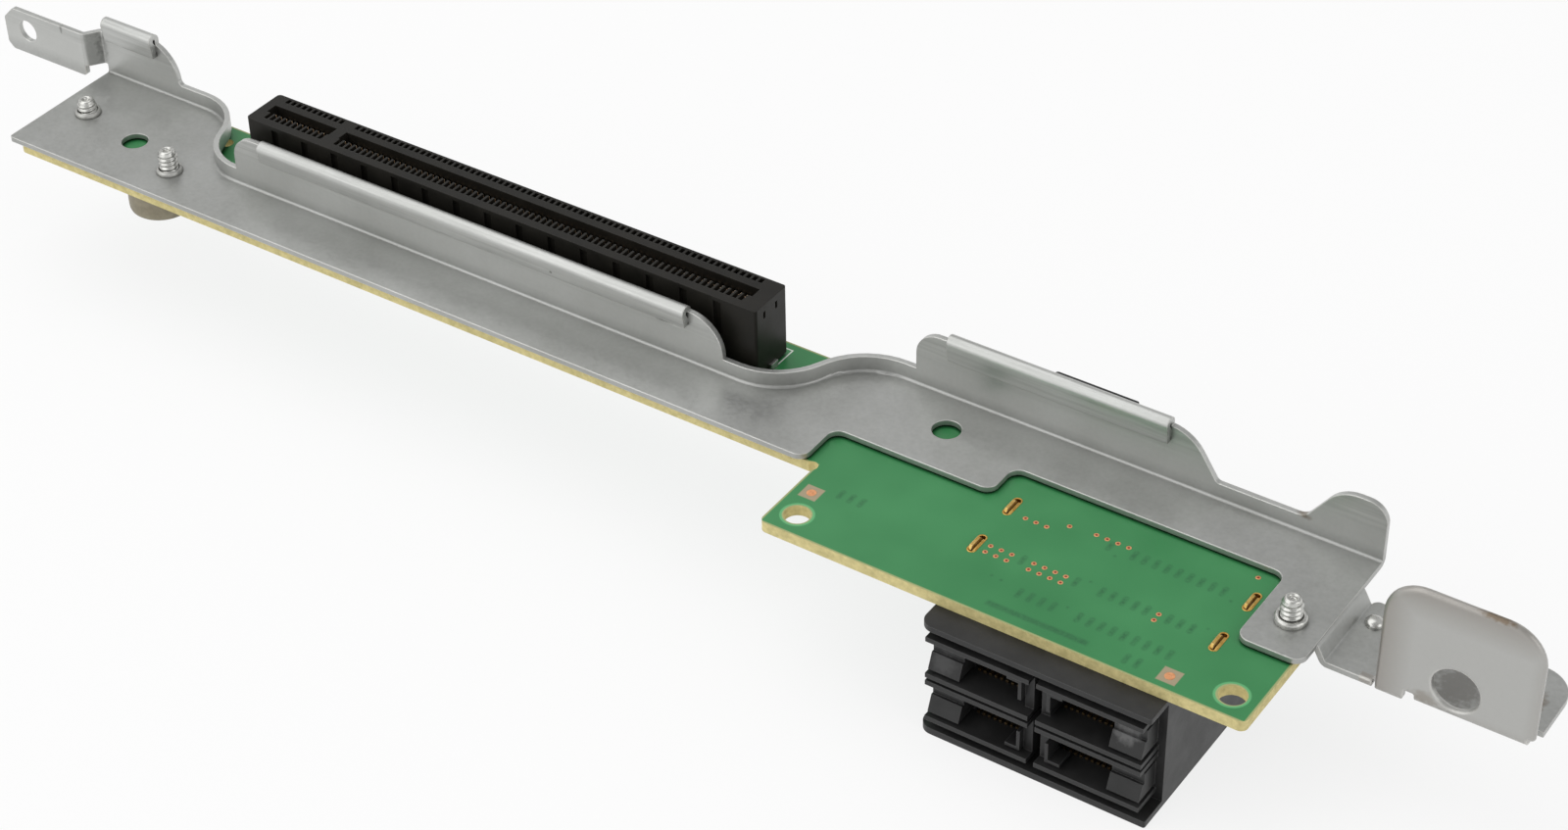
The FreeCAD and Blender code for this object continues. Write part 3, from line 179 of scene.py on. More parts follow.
def rescale(tree, value, low, high, start=0.0, stop=1.0):
    """Maps low..high to start..stop and holds the ends."""
    return add(tree, "ShaderNodeMapRange", {0: value, 1: low, 2: high, 3: start, 4: stop}).outputs[0]


def screen(red, green, blue):
    """A colour given as it looks on screen, 0 to 255, turned into light."""
    def light(shown):
        shown = shown / 255
        return shown / 12.92 if shown <= 0.04045 else ((shown + 0.055) / 1.055) ** 2.4
    return (light(red), light(green), light(blue), 1.0)


def new_group(name, inputs, outputs, kind="ShaderNodeTree"):
    """An empty node group; inputs are (name, type) or (name, type, default), and outputs (name, type)."""
    tree = bpy.data.node_groups.new(name, kind)
    for label, socket_type, *default in inputs:
        socket = tree.interface.new_socket(label, in_out="INPUT", socket_type="NodeSocket" + socket_type)
        if default:
            socket.default_value = default[0]
    for label, socket_type in outputs:
        tree.interface.new_socket(label, in_out="OUTPUT", socket_type="NodeSocket" + socket_type)
    return tree, tree.nodes.new("NodeGroupInput").outputs, tree.nodes.new("NodeGroupOutput").inputs


def use(tree, group, **values):
    """Places a group in a tree; a value's name is the socket's name with underscores."""
    made = tree.nodes.new("ShaderNodeGroup")
    made.node_tree = group
    fill(tree, made.inputs, {name.replace("_", " "): value for name, value in values.items()})
    return made.outputs


def new_material(name):
    """A material with an empty Principled shader; returns the material, its tree and the shader's inputs."""
    material = bpy.data.materials.new(name)
    material.use_nodes = True
    tree = material.node_tree
    tree.nodes.clear()
    shader = tree.nodes.new("ShaderNodeBsdfPrincipled")
    output = tree.nodes.new("ShaderNodeOutputMaterial")
    tree.links.new(shader.outputs[0], output.inputs[0])
    return material, tree, shader.inputs


print("Helpers are ready.")

# %% [markdown]
# ## Shared effects
#
# Six effects come back in several finishes, so each is a node group with named inputs:
#
# - mottling breaks one colour into soft patches, as on plated steel or moulded plastic;
# - grain is a fine bump for the surface normal;
# - glint and wear edges finds the sharp edges of a solid, where plating wears and where a painted highlight goes;
# - patch is a soft-edged rectangle on the board, for print, bare strips and pads;
# - row of marks lays soft dots or long marks along the board at a steady pitch;
# - spot is a ragged patch round one place, for rust, soot and bright scuffs, and for painted shade and reflections.
#
# The edges could also be found from the mesh's own pointiness, but that needs small, even faces, and a CAD mesh
# has long thin triangles. The Bevel node asks the shape itself instead.


# %% Mottling
def make_mottling():
    """Soft patches between a dark and a light colour."""
    tree, given, result = new_group(
        "mottling",
        [("Point", "Vector"), ("Size mm", "Float", 3.0), ("Detail", "Float", 4.0), ("Dark", "Color"),
         ("Light", "Color")],
        [("Colour", "Color"), ("Value", "Float")])
    scale = calc(tree, "DIVIDE", 1 / MM, given["Size mm"])
    noise = add(tree, "ShaderNodeTexNoise",
                {"Vector": given["Point"], "Scale": scale, "Detail": given["Detail"], "Roughness": 0.6})
    # The noise seldom leaves this span, so it is stretched to 0..1
    value = rescale(tree, noise.outputs[0], 0.3, 0.7)
    fill(tree, result, {"Colour": blend(tree, value, given["Dark"], given["Light"]), "Value": value})
    return tree


MOTTLING = make_mottling()
print("Group:", MOTTLING.name)


# %% Grain
def make_grain():
    """A fine bump over a given normal."""
    tree, given, result = new_group(
        "grain",
        [("Point", "Vector"), ("Size mm", "Float", 0.5), ("Height mm", "Float", 0.01), ("Normal", "Vector")],
        [("Normal", "Vector")])
    scale = calc(tree, "DIVIDE", 1 / MM, given["Size mm"])
    noise = add(tree, "ShaderNodeTexNoise", {"Vector": given["Point"], "Scale": scale, "Detail": 3.0})
    height = calc(tree, "MULTIPLY", noise.outputs[0], calc(tree, "MULTIPLY", given["Height mm"], MM))
    bump = add(tree, "ShaderNodeBump", {"Height": height, "Distance": 1.0, "Normal": given["Normal"]})
    feed(tree, result["Normal"], bump.outputs[0])
    return tree


GRAIN = make_grain()
print("Group:", GRAIN.name)


# %% Glint and wear edges
def make_glint_and_wear_edges():
    """Finds sharp edges by how far a rounded normal turns away from the plain one."""
    tree, given, result = new_group(
        "glint and wear edges", [("Radius mm", "Float", 0.2)], [("Mask", "Float"), ("Normal", "Vector")])
    radius = calc(tree, "MULTIPLY", given["Radius mm"], MM)
    rounded = add(tree, "ShaderNodeBevel", {"Radius": radius}, samples=6).outputs[0]
    plain = tree.nodes.new("ShaderNodeNewGeometry").outputs["Normal"]
    facing = vector(tree, "DOT_PRODUCT", rounded, plain)["Value"]
    fill(tree, result, {"Mask": rescale(tree, facing, 0.995, 0.80), "Normal": rounded})
    return tree


GLINT_AND_WEAR_EDGES = make_glint_and_wear_edges()
print("Group:", GLINT_AND_WEAR_EDGES.name)


# %% Patch
def soft_edge(tree, distance, softness):
    """1 inside an outline and 0 outside, from the distance past it; softness is the width of the change."""
    share = calc(tree, "SUBTRACT", 0.5, calc(tree, "DIVIDE", distance, softness))
    return add(tree, "ShaderNodeClamp", {0: share}).outputs[0]


def make_patch():
    """Soft-edged rectangle; all sizes are millimetres from the board's datum."""
    tree, given, result = new_group(
        "patch",
        [("Place", "Vector"), ("Centre X", "Float"), ("Centre Y", "Float"), ("Width", "Float", 1.0),
         ("Depth", "Float", 1.0), ("Softness", "Float", 0.1)],
        [("Mask", "Float")])
    place = split(tree, given["Place"])
    masks = []
    for axis, centre, extent in ((0, "Centre X", "Width"), (1, "Centre Y", "Depth")):
        away = calc(tree, "ABSOLUTE", calc(tree, "SUBTRACT", place[axis], given[centre]))
        past = calc(tree, "SUBTRACT", away, calc(tree, "MULTIPLY", given[extent], 0.5))
        masks.append(soft_edge(tree, past, given["Softness"]))
    feed(tree, result["Mask"], calc(tree, "MINIMUM", *masks))
    return tree


PATCH = make_patch()
print("Group:", PATCH.name)

# %% Row of marks
EYE_RADIUS = 0.12


def make_row_of_marks():
    """Soft dots or long marks at a steady pitch, with two pale eyes if asked, in millimetres from the datum."""
    tree, given, result = new_group(
        "row of marks",
        [("Place", "Vector"), ("Start X", "Float"), ("Row Y", "Float"), ("Pitch", "Float", 1.6), ("Last", "Float"),
         ("Radius", "Float", 0.5), ("Softness", "Float", 0.3), ("Half length", "Float"), ("Eye", "Float")],
        [("Mask", "Float")])
    place = split(tree, given["Place"])
    along = calc(tree, "DIVIDE", calc(tree, "SUBTRACT", place[0], given["Start X"]), given["Pitch"])
    number = calc(tree, "MINIMUM", calc(tree, "MAXIMUM", calc(tree, "ROUND", along), 0.0), given["Last"])
    offset = calc(tree, "MULTIPLY", calc(tree, "SUBTRACT", along, number), given["Pitch"])
    across = calc(tree, "ABSOLUTE", calc(tree, "SUBTRACT", place[1], given["Row Y"]))

    def round_dot(centre, radius):
        """A dot that sits at a distance across from the row's middle line."""
        rest = calc(tree, "SUBTRACT", across, centre)
        squares = calc(tree, "ADD", calc(tree, "MULTIPLY", offset, offset), calc(tree, "MULTIPLY", rest, rest))
        past = calc(tree, "SUBTRACT", calc(tree, "SQRT", squares), radius)
        return soft_edge(tree, past, given["Softness"])

    mark = round_dot(calc(tree, "MINIMUM", across, given["Half length"]), given["Radius"])
    eye = calc(tree, "MULTIPLY", round_dot(given["Half length"], EYE_RADIUS), given["Eye"])
    feed(tree, result["Mask"], calc(tree, "MULTIPLY", mark, calc(tree, "SUBTRACT", 1.0, eye)))
    return tree


ROW_OF_MARKS = make_row_of_marks()
print("Group:", ROW_OF_MARKS.name)

# %% Spot
RAGGED = 1.2


def make_spot():
    """Soft, ragged spot round a place; Reach is its half size along each axis, in metres."""
    tree, given, result = new_group(
        "spot", [("Point", "Vector"), ("Centre", "Vector"), ("Reach", "Vector")], [("Mask", "Float")])
    away = vector(tree, "SUBTRACT", given["Point"], given["Centre"])[0]
    distance = vector(tree, "LENGTH", vector(tree, "DIVIDE", away, given["Reach"])[0])["Value"]
    noise = add(tree, "ShaderNodeTexNoise", {"Vector": given["Point"], "Scale": 1500.0, "Detail": 4.0})
    ragged = calc(tree, "ADD", distance, calc(tree, "MULTIPLY_ADD", noise.outputs[0], RAGGED, -RAGGED / 2))
    feed(tree, result["Mask"], rescale(tree, ragged, 1.1, 0.5))
    return tree


SPOT = make_spot()
print("Group:", SPOT.name)


# %% Helpers that lay effects on a finish
def mottled(tree, point, size, detail, dark, light):
    """Mottling of a size in millimetres between two screen colours."""
    return use(tree, MOTTLING, Point=point, Size_mm=size, Detail=detail, Dark=screen(*dark), Light=screen(*light))


def with_marks(tree, point, colour, marks):
    """Lays spots over a colour; each is a place and half sizes in millimetres, a strength and a screen colour."""
    for (x, y, z), size, strength, stain in marks:
        spot = use(tree, SPOT, Point=point, Centre=on_board(x, y, z), Reach=Vector(size) * MM)
        colour = blend(tree, calc(tree, "MULTIPLY", spot["Mask"], strength), colour, screen(*stain))
    return colour


def board_place(tree, point):
    """The point in millimetres from the board's datum."""
    shifted = vector(tree, "SUBTRACT", point, tuple(DATUM))[0]
    return add(tree, "ShaderNodeVectorMath", {0: shifted, "Scale": 1 / MM}, operation="SCALE").outputs[0]


def shade_in_creases(tree, open_share, shut_share, strength):
    """Painted shade in inner corners: how strongly, from the share of open sky where it starts and where it is
    full.
    """
    nearby = add(tree, "ShaderNodeAmbientOcclusion", {"Distance": 0.9 * MM}, samples=4)
    return rescale(tree, nearby.outputs["AO"], open_share, shut_share, 0.0, strength)


print("Helpers for effects are ready.")

# %% [markdown]
# ## Zinc-plated steel
#
# The bracket is pressed from galvanised sheet. Its zinc is a soft mid grey with cloudy patches, it wears bright
# along edges and bends, where a painted highlight lies as well, and turns brownish where the shears cut through
# the plating. Its walls are painted lighter and its creases darker, as painted light and shade. A photo texture
# could carry all that, but a procedural one follows the metal round every fold: it reads the place of each point in
# space.

# %% Marks and a painted shade on the steel
BROWN = (104, 84, 58)
SOOT = (70, 68, 64)
PALE = (206, 207, 204)
MARKS_ON_STEEL = [
    # place in millimetres from the datum, half sizes, strength, colour
    ((198.0, 12.2, 15.4), (2.6, 1.0, 0.5), 0.75, BROWN),
    ((190.4, 12.2, -0.6), (2.2, 1.0, 1.4), 0.35, BROWN),
    ((165.2, 30.3, 3.6), (1.2, 1.0, 0.5), 0.6, BROWN),
    ((201.8, 18.5, -1.6), (1.2, 3.0, 1.0), 0.6, BROWN),
    ((75.4, 17.0, 6.3), (1.3, 1.2, 0.35), 0.6, SOOT),
    ((77.7, 17.0, 6.1), (0.9, 1.2, 0.25), 0.5, PALE),
    ((-44.6, 27.6, 7.6), (0.3, 1.0, 0.8), 0.5, SOOT),
    ((57.5, 17.0, 7.9), (0.3, 1.2, 0.3), 0.7, SOOT),
    ((89.2, 7.2, 1.1), (0.3, 0.3, 0.3), 0.6, PALE),
    # painted shade: darkens the lower plate behind the handle, where it shows through the handle's hole
    ((192.7, 17.0, -1.6), (4.2, 6.0, 1.2), 0.75, (116, 114, 110)),
    ((-38.2, 28.6, 5.2), (0.9, 1.6, 3.4), 0.9, (116, 116, 113)),
]
# Height of the plate's top, and the handle's face: where it starts along X, and how far back it reaches
PLATE_TOP = 1.1
HANDLE_START = 182.0
HANDLE_BACK = 12.9
# Heights over which the streaks set in, and how far the bright edges reach, as worn plating with a painted
# highlight, on the sheet and more on the handle
STREAKS_START, STREAKS_FULL = 5.0, 7.0
SHEET_WEAR_AND_GLINT, HANDLE_WEAR_AND_GLINT = 0.22, 0.4
print(len(MARKS_ON_STEEL), "marks on the steel")


# %% Zinc-plated steel
def make_zinc():
    material, tree, shader = new_material("zinc_plated_steel")
    point = coordinate(tree)
    cloud = mottled(tree, point, 16.0, 3.0, (153, 154, 151), (176, 177, 175))
    speckle = mottled(tree, point, 0.6, 5.0, (154, 155, 151), (184, 185, 182))
    colour = blend(tree, 0.3, cloud["Colour"], speckle["Colour"])

    # The walls are painted lighter than the plate, as painted light for the light they get
    x, y, z = split(tree, board_place(tree, point))
    off_handle = calc(tree, "LESS_THAN", x, HANDLE_START)
    wall = rescale(tree, z, PLATE_TOP + 0.4, PLATE_TOP + 2.0, 0.0, 0.35)
    colour = blend(tree, calc(tree, "MULTIPLY", wall, off_handle), colour, screen(212, 213, 210))

    # The handle's face is lighter, most of all in the middle, and warm and dull near the outline
    on_handle = calc(tree, "MULTIPLY", calc(tree, "GREATER_THAN", x, HANDLE_START),
                     calc(tree, "LESS_THAN", y, HANDLE_BACK))
    face = add(tree, "ShaderNodeCombineXYZ", {0: x, 1: z}).outputs[0]
    handle_middle = use(tree, PATCH, Place=face, Centre_X=195.6, Centre_Y=5.4, Width=18.5, Depth=15.0, Softness=4.0)["Mask"]
    dull = calc(tree, "MULTIPLY", on_handle, calc(tree, "SUBTRACT", 1.0, handle_middle))
    colour = blend(tree, on_handle, colour, screen(178, 178, 175))
    colour = blend(tree, calc(tree, "MULTIPLY", dull, 0.75), colour, screen(150, 145, 139))

    # Rolling and folding leave fine streaks along the walls, and the creases get a painted shade
    stretched = vector(tree, "MULTIPLY", point, (0.03, 1.0, 1.0))[0]
    streaks = mottled(tree, stretched, 0.5, 3.0, (140, 141, 138), (204, 205, 202))
    streaked = calc(tree, "MULTIPLY", rescale(tree, z, STREAKS_START, STREAKS_FULL, 0.0, 0.35), off_handle)
    colour = blend(tree, streaked, colour, streaks["Colour"])
    colour = blend(tree, shade_in_creases(tree, 0.8, 0.3, 0.65), colour, screen(70, 69, 66))

    # Edges are painted bright, as worn plating and as a painted highlight, and single marks lie over all
    wear_and_glint = use(tree, GLINT_AND_WEAR_EDGES, Radius_mm=calc(tree, "MULTIPLY_ADD", on_handle, HANDLE_WEAR_AND_GLINT, SHEET_WEAR_AND_GLINT))
    colour = blend(tree, calc(tree, "MULTIPLY", wear_and_glint["Mask"], 0.7), colour, screen(236, 235, 230))
    colour = with_marks(tree, point, colour, MARKS_ON_STEEL)
    normal = use(tree, GRAIN, Point=point, Size_mm=0.35, Height_mm=0.004, Normal=wear_and_glint["Normal"])
    fill(tree, shader, {"Base Color": colour, "Roughness": rescale(tree, speckle["Value"], 0, 1, 0.30, 0.42),
                        "Normal": normal["Normal"], "Metallic": 0.72})
    return material


ZINC = make_zinc()
print("Material:", ZINC.name)

# %% [markdown]
# ## The green board
#
# The board is glass fibre with a glossy green lacquer on both faces. Its cut edge stays bare and looks tan, and the
# lacquer stops a hair short of the edge, so a pale rim shows. Print, pads and marks under the lacquer are soft
# rectangles and dots laid out in millimetres from the datum, with the patch and the row of marks made above.

# %% Layout of the board's print
BOARD_FRONT = 9.2
BOARD_LEFT = (board_low.x - DATUM.x) / MM
BOARD_RIGHT = (board_high.x - DATUM.x) / MM
BOARD_BACK = (board_high.y - DATUM.y) / MM
WIDE_START = 105.7
WIDE_FRONT = (board_low.y - DATUM.y) / MM
BARE_RIM = 0.25
FIDUCIALS = [(108.3, 4.05), (163.6, -1.7)]
BARE_SQUARE = 2.6
TOOL_HOLES = [(109.2, -0.6), (171.4, -0.6)]
PALE_RING, BARE_RING = 2.3, 1.98
MARK_PITCH = 1.577
FAINT_ROWS = [
    # faint long marks below the lacquer: start along X, row Y, number of the last one
    (145.72, 15.5, 0),
    (149.16, 15.5, 8),
    (137.86, 7.25, 0),
    (145.57, 7.25, 0),
    (149.17, 7.25, 4),
    (158.60, 7.25, 2),
    (140.74, 1.6, 3),
    (149.17, 1.6, 8),
    (157.71, -1.8, 1),
    (111.70, 5.8, 2),
]
FAINT_DOTS = [(147.14, 14.14), (147.10, 8.2), (163.33, 14.35), (163.42, 8.3), (136.13, 2.65), (137.57, 2.5),
              (147.1, 2.5)]
FAINT_BAR = (145.3, -2.0, 14.3, 0.9)
WHITE_LINES = [(88.5, 28.1, 1.8, 0.2), (89.3, 26.0, 0.2, 4.3)]
print("The wide part of the board runs from", WIDE_START, "to", round(BOARD_RIGHT, 1), "mm.")


# %% Green board
def strongest(tree, masks):
    """The largest of several masks."""
    result = masks[0]
    for mask in masks[1:]:
        result = calc(tree, "MAXIMUM", result, mask)
    return result


def make_board():
    material, tree, shader = new_material("green_board")
    point = coordinate(tree)
    place = board_place(tree, point)

    def patch(x, y, width, depth, softness):
        return use(tree, PATCH, Place=place, Centre_X=x, Centre_Y=y, Width=width, Depth=depth,
                   Softness=softness)["Mask"]

    def dot(x, y, radius, softness, **more):
        return use(tree, ROW_OF_MARKS, Place=place, Start_X=x, Row_Y=y, Radius=radius, Softness=softness,
                   **more)["Mask"]

    def lacquered(start, front):
        """The lacquer's own outline over a part of the board with this left end and front edge."""
        return patch((start + BOARD_RIGHT) / 2, (front + BOARD_BACK) / 2, BOARD_RIGHT - start - 2 * BARE_RIM,
                     BOARD_BACK - front - 2 * BARE_RIM, 0.15)

    lacquer = mottled(tree, point, 14.0, 2.0, (44, 122, 68), (58, 135, 80))
    # Painted shade: the lacquer turns nearly black in the creases, most of all in the gap under the plate's edge
    colour = blend(tree, shade_in_creases(tree, 0.75, 0.35, 0.9), lacquer["Colour"], screen(8, 22, 13))

    # Marks below the lacquer
    marks = [dot(start, row, 0.34, 0.35, Pitch=MARK_PITCH, Last=float(last), Half_length=0.62, Eye=0.7)
             for start, row, last in FAINT_ROWS]
    marks += [dot(x, y, 0.2, 0.3) for x, y in FAINT_DOTS]
    marks.append(patch(*FAINT_BAR, 0.4))
    smudge = mottled(tree, point, 0.5, 2.0, (0, 0, 0), (255, 255, 255))
    faint = calc(tree, "MULTIPLY", strongest(tree, marks), rescale(tree, smudge["Value"], 0, 1, 0.35, 0.8))
    colour = blend(tree, faint, colour, screen(26, 92, 52))

    # Bare fibre: the lacquer ends a little inside the outline and round the tool holes and the fiducials
    pale_rings = [dot(x, y, PALE_RING, 0.12) for x, y in TOOL_HOLES]
    colour = blend(tree, calc(tree, "MULTIPLY", strongest(tree, pale_rings), 0.6), colour, screen(110, 190, 128))
    covered = strongest(tree, [lacquered(BOARD_LEFT, BOARD_FRONT), lacquered(WIDE_START, WIDE_FRONT)])
    bare = [calc(tree, "SUBTRACT", 1.0, covered)] + [dot(x, y, BARE_RING, 0.12) for x, y in TOOL_HOLES]
    colour = blend(tree, strongest(tree, bare), colour, screen(158, 164, 112))
    squares = [patch(x, y, BARE_SQUARE, BARE_SQUARE, 0.15) for x, y in FIDUCIALS]
    colour = blend(tree, strongest(tree, squares), colour, screen(160, 146, 118))

    # White print beside the slot
    lines = [patch(*line, 0.06) for line in WHITE_LINES]
    colour = blend(tree, strongest(tree, lines), colour, screen(225, 230, 222))

    # The cut edge
    upright = split(tree, coordinate(tree, "Normal"))[2]
    is_edge = calc(tree, "LESS_THAN", calc(tree, "ABSOLUTE", upright), 0.5)
    fibre = mottled(tree, point, 0.9, 4.0, (190, 178, 122), (222, 208, 148))
    fill(tree, shader, {"Base Color": blend(tree, is_edge, colour, fibre["Colour"]),
                        "Roughness": rescale(tree, is_edge, 0, 1, 0.28, 0.75)})
    return material


BOARD = make_board()
print("Material:", BOARD.name)

# %% [markdown]
# ## Plastics, gold, screw steel and the foot
#
# The other finishes are simpler. One function makes each: a colour in soft patches, a roughness and a fine grain.
# What differs is written at the call, so that the finishes can be compared side by side.

# %% Simple finishes
GRAIN_SIZE = 0.4
EDGE_RADIUS = 0.12


def make_finish(name, dark, light, roughness, metallic=0.0, specular=0.5, patch_mm=4.0, grain_height=0.004,
                edge_light=None, marks=()):
    """A material in patches of two screen colours, with a fine grain, and with painted edge highlights and marks if
    asked.
    """
    material, tree, shader = new_material(name)
    point = coordinate(tree)
    patches = mottled(tree, point, patch_mm, 4.0, dark, light)
    colour = patches["Colour"]
    wear_and_glint = use(tree, GLINT_AND_WEAR_EDGES, Radius_mm=EDGE_RADIUS)
    # A painted highlight along the sharp edges
    if edge_light:
        colour = blend(tree, calc(tree, "MULTIPLY", wear_and_glint["Mask"], 0.6), colour, screen(*edge_light))
    # Marks, such as the painted reflections on the port's keys
    colour = with_marks(tree, point, colour, marks)
    normal = use(tree, GRAIN, Point=point, Size_mm=GRAIN_SIZE, Height_mm=grain_height, Normal=wear_and_glint["Normal"])
    fill(tree, shader, {
        "Base Color": colour, "Normal": normal["Normal"], "Metallic": metallic, "Specular IOR Level": specular,
        "Roughness": rescale(tree, patches["Value"], 0, 1, roughness * 0.85, roughness * 1.15)})
    return material


# The plastics, the brass and the screw steel get a painted highlight along their edges
SLOT_PLASTIC = make_finish("slot_plastic", (24, 23, 20), (34, 32, 28), 0.42, specular=0.18, edge_light=(62, 60, 56))
# The two marks on the port plastic are painted reflections on the faces of its keys
PORT_PLASTIC = make_finish(
    "port_plastic", (32, 32, 32), (46, 46, 46), 0.45, specular=0.35, edge_light=(104, 104, 104),
    marks=[((160.9, -7.5, -6.5), (2.0, 2.5, 1.5), 0.6, (118, 118, 118)),
           ((135.4, -7.5, -7.5), (1.8, 2.5, 1.6), 0.4, (84, 84, 84))])
GOLD = make_finish("gold_contact", (196, 148, 66), (226, 184, 104), 0.3, metallic=1.0, patch_mm=1.0)
SPRING_GOLD = make_finish("spring_gold", (206, 172, 132), (236, 206, 172), 0.3, metallic=0.6, patch_mm=1.0)
DARK_GOLD = make_finish("dark_gold", (70, 56, 36), (96, 78, 52), 0.45, metallic=0.8, patch_mm=1.0)
# A near-white painted highlight along the edges of the brass legs
BRASS = make_finish("leg_brass", (186, 146, 62), (216, 182, 104), 0.3, metallic=0.6, patch_mm=0.7,
                    edge_light=(248, 236, 204))
TINNED = make_finish("tinned_metal", (168, 168, 164), (200, 200, 196), 0.38, metallic=0.9, patch_mm=1.0)
# A near-white painted highlight along the edges of the screws
SCREW_STEEL = make_finish("screw_steel", (176, 176, 172), (214, 214, 210), 0.28, metallic=0.95, patch_mm=0.8,
                          edge_light=(240, 240, 236))
FOOT_METAL = make_finish("foot_metal", (128, 120, 102), (158, 150, 130), 0.5, metallic=0.5, patch_mm=2.0)
DULL_STEEL = make_finish("dull_steel", (164, 164, 160), (190, 190, 186), 0.42, metallic=0.8, patch_mm=0.8)
PAD_RUBBER = make_finish("pad_rubber", (24, 24, 24), (36, 36, 35), 0.7, grain_height=0.02)
COPPER = make_finish("via_copper", (212, 140, 92), (230, 166, 118), 0.4, metallic=0.3, patch_mm=0.5)
VIA_HOLE = make_finish("via_hole", (120, 40, 18), (146, 56, 28), 0.6, patch_mm=0.5)
print("The simple finishes are ready.")

# %% [markdown]
# ## Dressing the frame's pieces
#
# Every piece of the frame is of one material, so each node takes one finish, also where a finer piece replaces it
# later on.

# %% Dress the CAD nodes
FINISH_OF_NODE = {
    "mounting_bracket": ZINC,
    "circuit_board": BOARD,
    "slot_housing": SLOT_PLASTIC,
    "slot_contacts_front": SPRING_GOLD,
    "slot_contacts_rear": SPRING_GOLD,
    "slot_solder_tabs": TINNED,
    "port_housing": PORT_PLASTIC,
    "port_contacts_upper": DARK_GOLD,
    "port_contacts_lower": DARK_GOLD,
    "port_board_locks": BRASS,
    "slot_platings": GOLD,
    "short_screw": SCREW_STEEL,
    "long_screws": SCREW_STEEL,
    "clinch_nuts": SCREW_STEEL,
    "support_foot": FOOT_METAL,
    "locating_stud": SCREW_STEEL,
    "rear_pad": PAD_RUBBER,
}
for name, finish in FINISH_OF_NODE.items():
    for holder in nodes[name].material_slots:
        holder.material = finish
print("Dressed", len(FINISH_OF_NODE), "nodes.")

# %% [markdown]
# ## Vias
#
# A via is a plated hole that joins the board's layers. On the photo each is an orange ring with a dark centre.
# The vias could be placed one by one, but Geometry Nodes keep them alike: the tree takes a cloud of points, puts
# a thin disc on each, turns the instances into real faces and gives them their finish. The rings are one cloud
# of discs, and the smaller, prouder plugs in their middles are another.

# %% Places of the vias
VIA_ROWS = [
    # start X, row Y, pitch, count
    (134.0, 14.45, 1.55, 3),
    (139.5, 16.1, 1.55, 1),
    (143.2, 16.45, 1.55, 4),
    (133.1, 7.4, 1.55, 3),
    (133.1, 6.05, 1.55, 3),
    (139.4, 7.4, 1.53, 4),
    (139.4, 6.05, 1.53, 4),
    (157.1, 7.4, 1.55, 1),
    (157.1, 6.15, 1.55, 1),
    (164.1, 20.1, 1.55, 1),
]
via_places = [on_board(start + step * pitch, row)
              for start, row, pitch, count in VIA_ROWS for step in range(count)]
print(len(via_places), "vias")


# %% Helpers for Geometry Nodes
def new_geometry_tree(name, inputs):
    """A Geometry Nodes tree with a Geometry socket each way, a Finish and more named inputs."""
    return new_group(name, [("Geometry", "Geometry"), ("Finish", "Material")] + inputs,
                     [("Geometry", "Geometry")], "GeometryNodeTree")


def spread_and_dress(tree, given, result, instance):
    """Ends a tree: an instance on every point, made real and given the finish."""
    spread = add(tree, "GeometryNodeInstanceOnPoints", {"Points": given["Geometry"], "Instance": instance})
    real = add(tree, "GeometryNodeRealizeInstances", {"Geometry": spread.outputs[0]})
    dressed = add(tree, "GeometryNodeSetMaterial", {"Geometry": real.outputs[0], "Material": given["Finish"]})
    feed(tree, result["Geometry"], dressed.outputs[0])
    return tree


def grow(name, points, tree, **values):
    """Runs a tree on a cloud of points; returns a plain mesh object without the empty slot of bare shapes."""
    seed_mesh = bpy.data.meshes.new(name + "_points")
    seed_mesh.from_pydata([tuple(point) for point in points], [], [])
    seed = put(name + "_points", seed_mesh)
    modifier = seed.modifiers.new("grow", "NODES")
    modifier.node_group = tree
    for item in tree.interface.items_tree:
        label = item.name.replace(" ", "_")
        if item.item_type == "SOCKET" and item.in_out == "INPUT" and label in values:
            modifier[item.identifier] = values[label]
    evaluated = seed.evaluated_get(bpy.context.evaluated_depsgraph_get())
    mesh = bpy.data.meshes.new_from_object(evaluated)
    if mesh.materials[0] is None:
        mesh.materials.pop(index=0)
    seed.modifiers.remove(modifier)
    bpy.data.objects.remove(seed)
    return put(name, mesh)


def merge(pieces, name):
    """Joins meshes into the first one, with the finish that each of them had."""
    finishes = list(dict.fromkeys(piece.data.materials[0] for piece in pieces))
    joined = bmesh.new()
    for piece in pieces:
        known = len(joined.faces)
        joined.from_mesh(piece.data)
        joined.faces.ensure_lookup_table()
        for face in joined.faces[known:]:
            face.material_index = finishes.index(piece.data.materials[0])
    whole = pieces[0]
    whole.data.materials.clear()
    for finish in finishes:
        whole.data.materials.append(finish)
    joined.to_mesh(whole.data)
    joined.free()
    for piece in pieces[1:]:
        bpy.data.objects.remove(piece)
    whole.name = name
    return whole


def keep(piece, slot_name, *replaced):
    """Hangs a finished piece under the root body, hides the frame's nodes that it replaces and prints its faces."""
    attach(piece, "root")
    if replaced:
        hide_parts(*replaced)
    print(piece.name, "has", len(piece.data.polygons), "faces")


# %% The disc tree
RING_HEIGHT, PLUG_HEIGHT = 0.03, 0.048
RING_CORNERS, PLUG_CORNERS = 20, 16


def make_disc_tree():
    """A thin disc on every point."""
    tree, given, result = new_geometry_tree(
        "discs",
        [("Radius", "Float", 0.4 * MM), ("Height", "Float", RING_HEIGHT * MM), ("Corners", "Int", RING_CORNERS)])
    disc = add(tree, "GeometryNodeMeshCylinder",
               {"Vertices": given["Corners"], "Radius": given["Radius"], "Depth": given["Height"]})
    return spread_and_dress(tree, given, result, disc.outputs[0])


